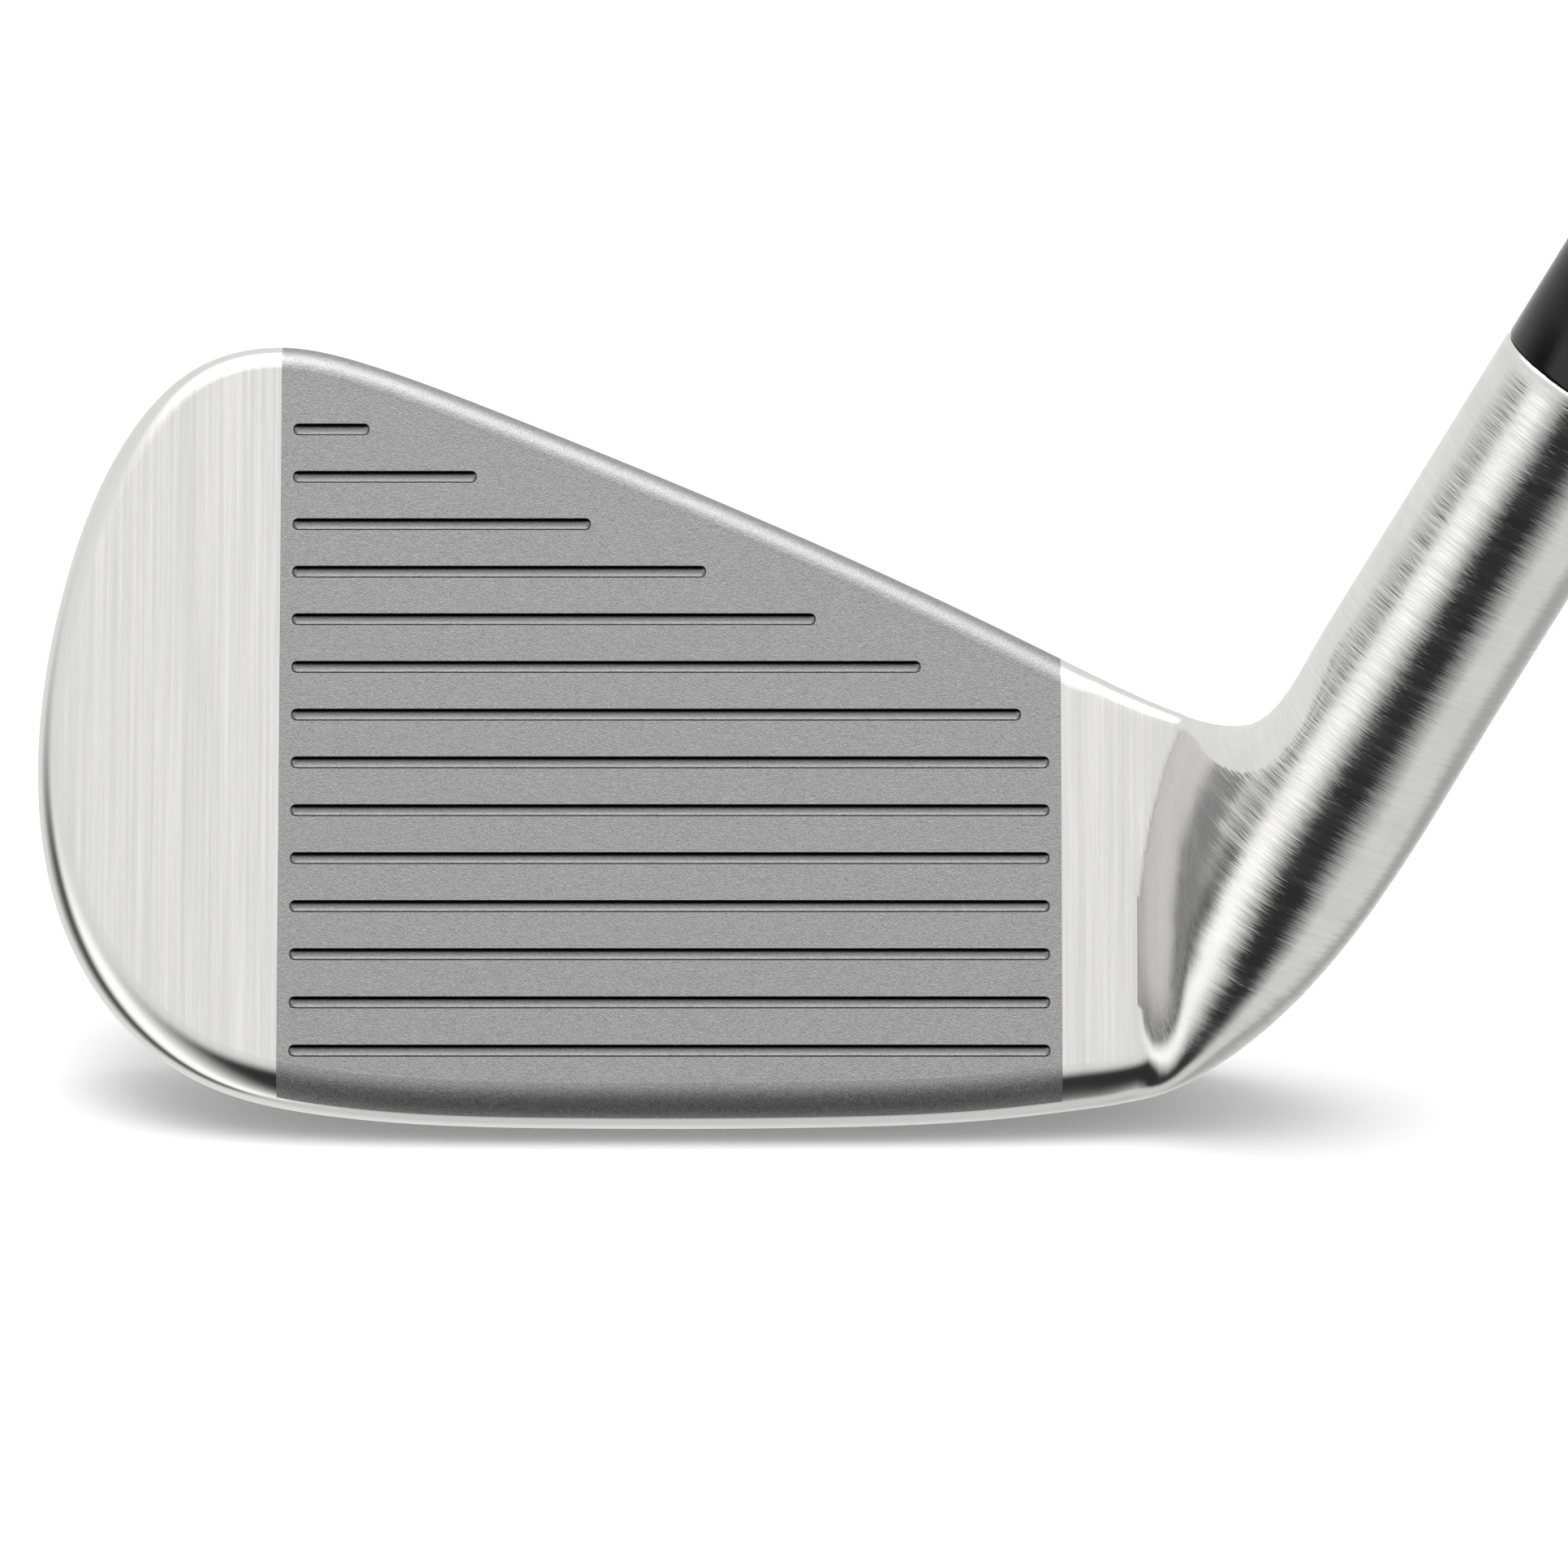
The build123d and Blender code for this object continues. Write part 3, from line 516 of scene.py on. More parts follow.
def neck_rings(ring):
    """Rings from the heel section along the neck, blended into the round of the hosel."""
    w, d, turn = ring.T
    top, bottom = OUTLINE[0][1], OUTLINE[-1][1]
    _, ends = OUTLINE_LINE.at(np.array([0.0, 1.0]))
    rise_top, rise_bottom = ends[0, 1] / ends[0, 0], ends[1, 1] / ends[1, 0]
    rise = rise_bottom + (rise_top - rise_bottom) * (w - bottom) / (top - bottom)
    start = face_point(HEEL_U, w, d)
    end = axis_point(NECK_END - NECK_SLANT * np.cos(np.radians(turn)), HOSEL_RADIUS, turn)
    span = np.linalg.norm(end - start, axis=1)
    topness = (1 + np.cos(np.radians(turn))) / 2
    leave = np.stack([1 + 0 * rise, rise * sin(LOFT), rise * cos(LOFT)], 1)
    leave /= np.linalg.norm(leave, axis=1)[:, None]
    leave *= (span * (NECK_PULL + NECK_TOP_PULL * topness))[:, None]
    arrive = AXIS * (span * (HOSEL_PULL - HOSEL_TOP_PULL * topness))[:, None]
    rings = []
    for s in np.linspace(0, 1, NECK_RINGS + 1):
        ring = start * (2 * s**3 - 3 * s**2 + 1) + leave * (s**3 - 2 * s**2 + s)
        ring += end * (3 * s**2 - 2 * s**3) + arrive * (s**3 - s**2)
        rings.append(ring)
    return carry_round_down(np.array(rings), turn)


def carry_round_down(points, turn):
    """Lifts the front of the neck to the hosel's round, which narrows down to the leading edge."""
    from_foot = points - AXIS_FOOT
    along = from_foot @ AXIS
    sideways = from_foot @ TOEWARD
    forward = from_foot @ FORWARD
    (first, rise), (last, fall) = RIDGE_TURNS
    front = smooth((turn - first) / rise) * smooth((last - turn) / fall)
    radius = np.interp(along, RIDGE_ALONG, RIDGE_RADIUS)
    across = (sideways / radius) ** 2
    crown = radius * (1 - across / 2 - across**2 / 8 - across**3 / 16)
    past = np.maximum(np.abs(sideways) - radius, 0.0)
    round_top = np.sqrt(np.maximum(radius**2 - sideways**2, 0.0)) - 3.0 * past
    low = smooth((HOSEL_LOW - along) / RIDGE_BLEND)
    over = round_top + (crown - round_top) * low - forward
    soft = (HOLLOW_SMALL + HOLLOW_WIDE * smooth((along - HOLLOW_FROM) / RIDGE_BLEND)) * low + HOLLOW_MIN
    near = np.clip((over + soft) / (2 * soft), 0.0, 1.0)
    lift = np.where(over > soft, over, soft * near**3 * (2 - near))
    started = smooth(np.linspace(0, 1, len(points)) / RIDGE_START)[:, None]
    lift *= front * started
    return points + lift[..., None] * FORWARD


def hosel_rings(turn):
    """Rings up the hosel, over its rim and down its bore."""
    rings = []
    for i in range(1, HOSEL_RINGS + 1):
        share = i / HOSEL_RINGS
        along = NECK_END + (HOSEL_TOP - RIM_ROUND - NECK_END) * share
        slant = NECK_SLANT * (1 - share) * np.cos(np.radians(turn))
        rings.append(axis_point(along - slant, HOSEL_RADIUS, turn))
    for below, radius in HOSEL_RIM:
        rings.append(axis_point(HOSEL_TOP - below, radius, turn))
    for along in np.linspace(HOSEL_TOP - 0.15, SHAFT_START, 8):
        rings.append(axis_point(along, BORE_RADIUS, turn))
    return np.array(rings)


def prism(sheets, loop, start, end, steps=1, **values):
    """A wall that runs back from a loop, from depth start to depth end."""
    depths = np.linspace(start, end, steps + 1)
    rows = [face_point(*loop.T, depth) for depth in depths]
    sheets.grid(rows, closed=True, **values)


def flat(sheets, outer, holes, d, **values):
    """A flat region at depth d."""
    verts, faces = fill(outer, holes)
    sheets.add(face_point(*verts.T, d), faces, **values)


def make_head():
    """The head body: outer skin, openings and bored hosel, as one closed mesh."""
    sheets = Sheets("front", "edge", "neck")
    u, w, d, turned, low = band_rows()
    band = face_point(u, w, d)
    limit = radians(90) - radians(34) * low
    front = turned / limit * 0.98
    front[FRONT_ROWS + 1 :] = 2.0
    edge = smooth(turned / radians(24))
    sheets.grid(band, front=front, edge=edge)

    ring, front_line, back_line = neck_start(u, w, d)
    front_edge = np.concatenate([np.stack([u[0], w[0]], 1), front_line[::-1][:, [0, 0]]])
    front_edge[len(u[0]) :, 0] = HEEL_U
    flat(sheets, front_edge, [insert_loop()], 0.0, front=0.0)

    prism(sheets, insert_loop(), 0.0, INSERT_THICKNESS, front=0.0)
    mouth, bottom = pocket_loops()
    window = with_crossings(window_loop(), cavity_loop(0.0, 1.0))
    cavity = with_crossings(cavity_loop(0.0, 1.0), window_loop())
    flat(sheets, insert_loop(), [window, mouth], INSERT_THICKNESS)
    floor = INSERT_THICKNESS + POCKET_DEPTH
    sheets.grid([face_point(*mouth.T, INSERT_THICKNESS), face_point(*bottom.T, floor)], closed=True)
    flat(sheets, bottom, [], floor)
    prism(sheets, window, INSERT_THICKNESS, CAVITY_FLOOR)
    flat(sheets, cavity, [window], CAVITY_FLOOR)
    flat(sheets, window, [cavity], CAVITY_FLOOR)
    make_back(sheets, u, w, back_line, cavity)

    rings = neck_rings(ring)
    shares = np.linspace(0, 1, NECK_RINGS + 1)[:, None]
    top_count = FRONT_ROWS + WALL_ROWS + BACK_ROWS + 1
    own_edge = np.zeros(len(ring))
    own_edge[:top_count] = edge[:, 0][::-1]
    own_edge[top_count + FRONT_POINTS - 1 :][:top_count] = edge[:, -1]
    own_edge = own_edge * (1 - smooth(shares / 0.5))
    sheets.grid(rings, closed=True, edge=own_edge, neck=smooth((shares - 0.12) / 0.25))
    upper = hosel_rings(ring[:, 2])
    upper = np.concatenate([rings[-1:], upper])
    sheets.grid(upper, closed=True, neck=1.0)
    centre = axis_point(SHAFT_START)
    count = len(ring)
    sheets.add(
        np.concatenate([upper[-1], centre[None]]),
        [(i, (i + 1) % count, count) for i in range(count)],
        neck=1.0,
    )
    face_normal = Vector((0, -cos(LOFT), sin(LOFT)))
    return sheets.build("head_shell", flat_normals=(face_normal,))


def make_back(sheets, u, w, back_line, cavity):
    """The back of the blade round the cavity, and the cavity's walls with a small chamfer at the rim."""
    outer = np.concatenate([np.stack([u[-1], w[-1]], 1), back_line[:, [0, 0]]])
    outer[len(u[-1]) :, 0] = HEEL_U
    lip = spread_out(cavity, CAVITY_CHAMFER)
    across = np.arange(-44, HEEL_U, BACK_SPACING[0])
    across, up = np.meshgrid(across, np.arange(7.0, 60.0, BACK_SPACING[1]))
    extra = np.stack([across.ravel(), up.ravel()], 1)
    near_lip = inside(extra, spread_out(lip, BACK_MARGIN))
    extra = extra[inside(extra, spread_out(outer, -BACK_MARGIN)) & ~near_lip]
    verts, faces = fill(outer, [lip], extra)
    sheets.add(face_point(*verts.T, back_depth(verts[:, 1])), faces)
    rim = back_depth(cavity[:, 1]) - CAVITY_CHAMFER
    rows = [face_point(*lip.T, back_depth(lip[:, 1])), face_point(*cavity.T, rim)]
    for share in (0.34, 0.67, 1.0):
        rows.append(face_point(*cavity.T, rim + (CAVITY_FLOOR - rim) * share))
    sheets.grid(rows, closed=True)


def spread_out(loop, gap):
    """The loop moved outwards by gap along its own normals."""
    before = np.roll(loop, 1, axis=0)
    after = np.roll(loop, -1, axis=0)
    along = after - before
    along /= np.linalg.norm(along, axis=1)[:, None]
    normal = np.stack([along[:, 1], -along[:, 0]], 1)
    area = 0.5 * np.sum(loop[:, 0] * after[:, 1] - after[:, 0] * loop[:, 1])
    return loop + normal * gap * (1 if area > 0 else -1)


# ---------------------------------------------------------------- node materials
class Nodes:
    """The nodes of one tree, made and joined a step at a time."""

    def __init__(self, tree):
        self.tree = tree

    def node(self, kind, inputs=None, **settings):
        made = self.tree.nodes.new(kind)
        for key, value in settings.items():
            setattr(made, key, value)
        for key, value in (inputs or {}).items():
            self.feed(made.inputs[key], value)
        return made

    def feed(self, socket, value):
        """Joins a socket to another's output, or sets it to a constant."""
        if isinstance(value, bpy.types.NodeSocket):
            self.tree.links.new(value, socket)
        else:
            socket.default_value = value

    def maths(self, operation, first, second=0.0, third=0.0):
        made = self.node("ShaderNodeMath", operation=operation)
        for socket, value in zip(made.inputs, (first, second, third)):
            self.feed(socket, value)
        return made.outputs[0]

    def tint(self, share, first, second):
        """Mixes two colours."""
        made = self.node("ShaderNodeMix", data_type="RGBA")
        for index, value in ((0, share), (6, first), (7, second)):
            self.feed(made.inputs[index], value)
        return made.outputs[2]


class Finish(Nodes):
    """A material with its nodes."""

    def __init__(self, name, **shader):
        self.material = bpy.data.materials.new(name)
        self.material.use_nodes = True
        super().__init__(self.material.node_tree)
        self.shader = self.tree.nodes["Principled BSDF"]
        for key, value in shader.items():
            self.shader.inputs[key.replace("_", " ")].default_value = value
        self.place = self.node("ShaderNodeTexCoord").outputs["Object"]

    def turned(self, turn, scale, vector=None):
        """Object coordinates turned, then stretched."""
        first = self.node("ShaderNodeMapping", {"Vector": vector or self.place, "Rotation": turn})
        return self.node("ShaderNodeMapping", {"Vector": first.outputs[0], "Scale": scale}).outputs[0]

    def shaded(self, colour, value):
        """A colour made lighter or darker."""
        return self.node("ShaderNodeHueSaturation", {"Color": colour, "Value": value}).outputs[0]

    def noise(self, vector, scale, detail=2.0, roughness=0.5):
        inputs = {"Vector": vector, "Scale": scale, "Detail": detail, "Roughness": roughness}
        return self.node("ShaderNodeTexNoise", inputs).outputs["Fac"]

    def ramp(self, value, low, high, start=0.0, end=1.0):
        """Maps low..high to start..end, held at both ends."""
        inputs = {"Value": value, "From Min": low, "From Max": high, "To Min": start, "To Max": end}
        return self.node("ShaderNodeMapRange", inputs).outputs[0]

    def mix(self, share, first, second):
        """Mixes two numbers."""
        made = self.node("ShaderNodeMix", {0: share, 2: first, 3: second})
        return made.outputs[0]

    def value(self, name):
        """The piece's own point value."""
        return self.node("ShaderNodeAttribute", attribute_name=name).outputs["Fac"]

    def set(self, socket, value):
        self.feed(self.shader.inputs[socket], value)

    def bump(self, height, distance, strength=1.0, normal=None):
        inputs = {"Height": height, "Distance": distance, "Strength": strength}
        if normal is not None:
            inputs["Normal"] = normal
        return self.node("ShaderNodeBump", inputs).outputs[0]


def grey(value, warm=0.0):
    return (value * (1 + warm), value, value * (1 - warm), 1.0)


BLADE_TURN = (LOFT, 0.0, 0.0)
AXIS_TURN = (0.0, -(pi / 2 - LIE), 0.0)


def blasted_grain(finish):
    """The grain of the blasted face."""
    fine = finish.noise(finish.place, 8200.0, 2.0, 0.7)
    coarse = finish.noise(finish.place, 2600.0, 2.0, 0.5)
    return finish.mix(0.2, fine, coarse)


def head_steel(colour, blasted):
    """Brushed, polished and blasted steel of the head."""
    finish = Finish("head_steel", Metallic=1.0)
    down = finish.turned(BLADE_TURN, (1.0, 1.0, 0.012))
    round_axis = finish.turned(AXIS_TURN, (0.035, 0.035, 1.0))
    brushed = finish.noise(down, 3600.0, 4.0, 0.65)
    wide = finish.noise(down, 420.0, 2.0, 0.5)
    turned = finish.noise(round_axis, 2600.0, 4.0, 0.6)
    part_round = finish.turned(AXIS_TURN, (0.09, 0.09, 1.0))
    broad = finish.noise(part_round, 1100.0, 4.0, 0.7)
    neck = finish.value("neck")
    edge = finish.value("edge")
    share = finish.value("front")
    place = finish.node("ShaderNodeSeparateXYZ", {0: finish.place}).outputs[0]
    within = finish.maths("LESS_THAN", finish.maths("ABSOLUTE", place), INSERT_HALF * MM)
    blast = finish.maths("MULTIPLY", within, finish.maths("LESS_THAN", share, 1.0))
    grain = blasted_grain(finish)
    flat = finish.maths("SUBTRACT", 1.0, finish.maths("MULTIPLY", edge, 0.85))
    lines = finish.mix(neck, brushed, turned)
    tone = finish.maths("MULTIPLY", finish.ramp(lines, 0.3, 0.7, -0.07, 0.07), finish.mix(neck, flat, 0.6))
    tone = finish.maths("ADD", tone, finish.maths("MULTIPLY", finish.ramp(wide, 0.3, 0.7, -0.03, 0.03), flat))
    bright = finish.shaded(colour, finish.maths("ADD", 1.0, tone))
    dull = finish.shaded(blasted, finish.ramp(grain, 0.3, 0.7, 0.74, 1.26))
    finish.set("Base Color", finish.tint(blast, bright, dull))
    rough = finish.mix(edge, finish.ramp(lines, 0.3, 0.7, 0.2, 0.32), 0.14)
    rough = finish.mix(neck, rough, finish.ramp(broad, 0.3, 0.7, 0.08, 0.24))
    finish.set("Roughness", finish.mix(blast, rough, finish.ramp(grain, 0.3, 0.7, 0.36, 0.46)))
    smooth_lines = finish.maths("MULTIPLY", brushed, flat)
    round_lines = finish.maths("ADD", turned, finish.maths("MULTIPLY", broad, 26.0))
    line_height = finish.mix(neck, smooth_lines, round_lines)
    line_height = finish.maths("MULTIPLY", line_height, finish.maths("SUBTRACT", 1.0, blast))
    first = finish.bump(line_height, 0.0000035)
    finish.set("Normal", finish.bump(finish.maths("MULTIPLY", grain, blast), 0.000035, 1.0, first))
    return finish.material


def face_steel(blasted):
    """The blasted steel of the insert, with painted shade: the walls of the score lines are painted near
    black.
    """
    finish = Finish("face_steel", Metallic=1.0)
    grain = blasted_grain(finish)
    dull = finish.shaded(blasted, finish.ramp(grain, 0.3, 0.7, 0.74, 1.26))
    normal = finish.node("ShaderNodeNewGeometry").outputs["Normal"]
    tilt = finish.node("ShaderNodeVectorMath", operation="DOT_PRODUCT")
    finish.feed(tilt.inputs[0], normal)
    finish.feed(tilt.inputs[1], (0.0, sin(LOFT), cos(LOFT)))
    steep = finish.maths("ABSOLUTE", tilt.outputs["Value"])
    # painted shade: this mask picks the walls of the score lines, where the surface faces steeply up or down,
    # and the next line paints them near black in place of the shade inside the grooves
    wall = finish.ramp(steep, 0.25, 0.6)
    finish.set("Base Color", finish.tint(wall, dull, grey(0.012)))
    finish.set("Roughness", finish.ramp(grain, 0.3, 0.7, 0.36, 0.46))
    finish.set("Normal", finish.bump(grain, 0.000035))
    return finish.material


def plain_finish(
    name, colour, spread, rough, scale, bump, stretch=(1.0, 1.0, 1.0), turn=(0.0, 0.0, 0.0), **shader
):
    """A finish whose colour, roughness and height all vary with one grain."""
    finish = Finish(name, **shader)
    grain = finish.noise(finish.turned(turn, stretch), scale, 3.0, 0.6)
    finish.set("Base Color", finish.shaded(colour, finish.ramp(grain, 0.25, 0.75, 1 - spread, 1 + spread)))
    finish.set("Roughness", finish.ramp(grain, 0.25, 0.75, rough[0], rough[1]))
    finish.set("Normal", finish.bump(grain, bump))
    return finish.material


# ---------------------------------------------------------------- geometry nodes
class Rule(Nodes):
    """A node tree that makes a shape from named inputs."""

    def __init__(self, name, **inputs):
        super().__init__(bpy.data.node_groups.new(name, "GeometryNodeTree"))
        face = self.tree.interface
        face.new_socket("Geometry", in_out="INPUT", socket_type="NodeSocketGeometry")
        self.identifiers = {}
        for key, (kind, default) in inputs.items():
            socket = face.new_socket(key, in_out="INPUT", socket_type="NodeSocket" + kind)
            if default is not None:
                socket.default_value = default
            self.identifiers[key] = socket.identifier
        face.new_socket("Geometry", in_out="OUTPUT", socket_type="NodeSocketGeometry")
        self.given = self.tree.nodes.new("NodeGroupInput").outputs
        self.result = self.tree.nodes.new("NodeGroupOutput")

    def attribute(self, name):
        """A number stored on the mesh under that name."""
        return self.node("GeometryNodeInputNamedAttribute", {"Name": name}, data_type="FLOAT").outputs[0]

    def swept(self, curve, radius, profile):
        """A profile swept along a curve, with a size of its own at each point."""
        sized = self.node("GeometryNodeSetCurveRadius", {"Curve": curve, "Radius": radius}).outputs[0]
        inputs = {"Curve": sized, "Profile Curve": profile, "Fill Caps": True}
        made = self.node("GeometryNodeCurveToMesh", inputs)
        if "Scale" in made.inputs:
            self.feed(made.inputs["Scale"], self.node("GeometryNodeInputRadius").outputs[0])
        return made.outputs[0]

    def shade(self, geometry, limit):
        """Smooth faces with creases where the surface turns by more than limit."""
        smoothed = self.node("GeometryNodeSetShadeSmooth", {"Geometry": geometry, "Shade Smooth": True})
        angle = self.node("GeometryNodeInputMeshEdgeAngle").outputs["Unsigned Angle"]
        under = self.node("FunctionNodeCompare", data_type="FLOAT", operation="LESS_THAN")
        self.feed(under.inputs[0], angle)
        self.feed(under.inputs[1], limit)
        creased = self.node("GeometryNodeSetShadeSmooth", domain="EDGE")
        self.feed(creased.inputs["Geometry"], smoothed.outputs[0])
        self.feed(creased.inputs["Shade Smooth"], under.outputs[0])
        return creased.outputs[0]

    def finish(self, geometry, material):
        """Ends the tree, which every piece made by a rule does in the same way."""
        real = self.node("GeometryNodeRealizeInstances", {"Geometry": geometry})
        painted = self.node("GeometryNodeSetMaterial", {"Geometry": real.outputs[0], "Material": material})
        self.tree.links.new(painted.outputs[0], self.result.inputs[0])

    def make(self, name, base, **values):
        """Runs the rule on a base mesh and returns the plain mesh object it gives."""
        item = bpy.data.objects.new(name, base)
        bpy.context.scene.collection.objects.link(item)
        modifier = item.modifiers.new(name, "NODES")
        modifier.node_group = self.tree
        for key, value in values.items():
            modifier[self.identifiers[key]] = value
        graph = bpy.context.evaluated_depsgraph_get()
        mesh = bpy.data.meshes.new_from_object(item.evaluated_get(graph), depsgraph=graph)
        item.modifiers.clear()
        item.data = mesh
        mesh.name = name
        print(name, "faces", len(mesh.polygons))
        return item


def score_rule():
    """Score lines: a round-ended groove along every line of a wire mesh, cut from a plate."""
    rule = Rule(
        "score_lines",
        Width=("Float", 0.0008),
        Depth=("Float", 0.00045),
        Wires=("Object", None),
        Finish=("Material", None),
    )
    wires = rule.node("GeometryNodeObjectInfo", {"Object": rule.given["Wires"]}).outputs["Geometry"]
    curve = rule.node("GeometryNodeMeshToCurve", {"Mesh": wires}).outputs[0]
    circle = rule.node("GeometryNodeCurvePrimitiveCircle", {"Resolution": 28, "Radius": 1.0}).outputs["Curve"]
    position = rule.node("GeometryNodeInputPosition").outputs[0]
    split = rule.node("ShaderNodeSeparateXYZ", {0: position})
    x, y = split.outputs[0], split.outputs[1]
    half = rule.maths("MULTIPLY", rule.given["Width"], 0.5)
    across = rule.maths("MULTIPLY", rule.maths("MULTIPLY", x, 1.12), half)
    power = rule.maths("POWER", rule.maths("ABSOLUTE", y), 0.55)
    down = rule.maths("MULTIPLY", rule.maths("MULTIPLY", power, rule.maths("SIGN", y)), rule.given["Depth"])
    shape = rule.node("ShaderNodeCombineXYZ", {0: across, 1: down})
    section = rule.node("GeometryNodeSetPosition", {"Geometry": circle, "Position": shape.outputs[0]})
    sweep = rule.swept(curve, rule.attribute("narrow"), section.outputs[0])
    cut = rule.node("GeometryNodeMeshBoolean", operation="DIFFERENCE", solver="EXACT")
    rule.feed(cut.inputs["Mesh 1"], rule.given["Geometry"])
    rule.feed(cut.inputs["Mesh 2"], sweep)
    shaded = rule.shade(cut.outputs[0], radians(32))
    rule.finish(shaded, rule.given["Finish"])
    return rule


def shaft_rule():
    """A stepped tube: every step is a short cone between two plain runs."""
    rule = Rule(
        "stepped_shaft",
        Tip_Radius=("Float", TIP_RADIUS * MM),
        Butt_Radius=("Float", BUTT_RADIUS * MM),
        Steps=("Int", 13),
        First_Step=("Float", 0.2475),
        Pitch=("Float", 0.0315),
        Run=("Float", 0.0016),
        Start=("Float", SHAFT_START * MM),
        End=("Float", SHAFT_END * MM),
        Finish=("Material", None),
    )
    given = rule.given
    steps = given["Steps"]
    count = rule.maths("ADD", rule.maths("MULTIPLY", steps, 4.0), 2.0)
    line = rule.node("GeometryNodeMeshLine", {"Count": count}, mode="OFFSET").outputs[0]
    index = rule.node("GeometryNodeInputIndex").outputs[0]
    number = rule.maths("SUBTRACT", index, 1.0)
    step = rule.maths("FLOOR", rule.maths("DIVIDE", number, 4.0))
    part = rule.maths("SUBTRACT", number, rule.maths("MULTIPLY", step, 4.0))
    share = rule.maths("DIVIDE", part, 3.0)
    height = rule.maths("MULTIPLY_ADD", step, given["Pitch"], given["First_Step"])
    height = rule.maths("MULTIPLY_ADD", share, given["Run"], height)
    eased = rule.node("ShaderNodeMapRange", {"Value": share}, interpolation_type="SMOOTHSTEP").outputs[0]
    grown = rule.maths("DIVIDE", rule.maths("ADD", step, eased), steps)
    wider = rule.maths("SUBTRACT", given["Butt_Radius"], given["Tip_Radius"])
    radius = rule.maths("MULTIPLY_ADD", grown, wider, given["Tip_Radius"])
    first = rule.maths("LESS_THAN", index, 0.5)
    last = rule.maths("GREATER_THAN", index, rule.maths("SUBTRACT", count, 1.5))

    def choose(switch, no, yes):
        made = rule.node("ShaderNodeMix")
        rule.feed(made.inputs[0], switch)
        rule.feed(made.inputs[2], no)
        rule.feed(made.inputs[3], yes)
        return made.outputs[0]

    height = choose(last, choose(first, height, given["Start"]), given["End"])
    radius = choose(last, choose(first, radius, given["Tip_Radius"]), given["Butt_Radius"])
    along = rule.node("ShaderNodeCombineXYZ", {0: height}).outputs[0]
    reach = {"Geometry": line, "Name": "reach", "Value": radius}
    stored = rule.node("GeometryNodeStoreNamedAttribute", reach)
    placed = rule.node("GeometryNodeSetPosition", {"Geometry": stored.outputs[0], "Position": along})
    curve = rule.node("GeometryNodeMeshToCurve", {"Mesh": placed.outputs[0]}).outputs[0]
    circle = rule.node("GeometryNodeCurvePrimitiveCircle", {"Resolution": 96, "Radius": 1.0}).outputs["Curve"]
    sweep = rule.swept(curve, rule.attribute("reach"), circle)
    turned = rule.node(
        "GeometryNodeTransform",
        {"Geometry": sweep, "Translation": tuple(AXIS_FOOT * MM), "Rotation": (0.0, -LIE, 0.0)},
    )
    rule.finish(rule.shade(turned.outputs[0], radians(40)), given["Finish"])
    return rule


def grip_rule():
    """The grip's moulded pattern: rows of short slanted grooves, and plain bands between."""
    rule = Rule(
        "moulded_pattern",
        Pitch=("Float", 0.0058),
        Around=("Float", 20.0),
        Depth=("Float", 0.00035),
        Finish=("Material", None),
    )
    rows = rule.maths("DIVIDE", rule.attribute("along"), rule.given["Pitch"])
    sides = rule.maths("MULTIPLY", rule.attribute("turn"), rule.given["Around"])
    a = rule.maths("PINGPONG", rule.maths("ADD", sides, rows), 0.5)
    b = rule.maths("PINGPONG", rule.maths("SUBTRACT", sides, rows), 0.5)
    near = rule.maths("MINIMUM", a, b)
    slope = {"Value": near, "From Min": 0.06, "From Max": 0.2, "To Min": 1.0, "To Max": 0.0}
    groove = rule.node("ShaderNodeMapRange", slope).outputs[0]
    sunk = rule.maths("MULTIPLY", groove, rule.attribute("patterned"))
    sunk = rule.maths("MULTIPLY", sunk, rule.given["Depth"])
    normal = rule.node("GeometryNodeInputNormal").outputs[0]
    move = rule.node("ShaderNodeVectorMath", operation="SCALE")
    rule.feed(move.inputs[0], normal)
    rule.feed(move.inputs["Scale"], rule.maths("MULTIPLY", sunk, -1.0))
    inputs = {"Geometry": rule.given["Geometry"], "Offset": move.outputs[0]}
    moved = rule.node("GeometryNodeSetPosition", inputs)
    rule.finish(rule.shade(moved.outputs[0], radians(50)), rule.given["Finish"])
    return rule


# ---------------------------------------------------------------- pieces made in code
def spun(profile, name, count=128, sharp=35.0):
    """A closed turned piece about the shaft axis from a profile of (along, radius), as a closed line."""
    sheets = Sheets("along", "turn", "patterned")
    turn = np.linspace(0, 360, count, endpoint=False)
    rows = [axis_point(np.full(count, along), np.full(count, radius), turn) for along, radius in profile]
    sheets.grid(rows, closed=True)
    return sheets.build(name, sharp=sharp)


def make_ferrule_profile():
    """The ferrule: straight above the hosel, then tapered to a thin top edge."""
    start = HOSEL_TOP
    end = HOSEL_TOP + FERRULE_LENGTH
    wide = HOSEL_RADIUS - FERRULE_STEP_IN
    top = TIP_RADIUS + FERRULE_TOP_WALL
    bore = TIP_RADIUS + FERRULE_BORE_GAP
    cone = end - FERRULE_ROUND - start - FERRULE_PLAIN
    line = [(start, bore), (start, wide - FERRULE_ROUND)]
    line += [(start + 0.07, wide - 0.08), (start + FERRULE_ROUND, wide)]
    line += [(start + FERRULE_PLAIN * share, wide) for share in (0.35, 0.65, 0.9)]
    for share in np.linspace(0, 1, 18):
        narrowed = wide + (top - wide) * (0.35 * share**2 + 0.65 * share)
        line.append((start + FERRULE_PLAIN + cone * share, narrowed))
    line += [(end - 0.06, top - 0.09), (end, top - FERRULE_ROUND), (end, bore), (start, bore)]
    return line


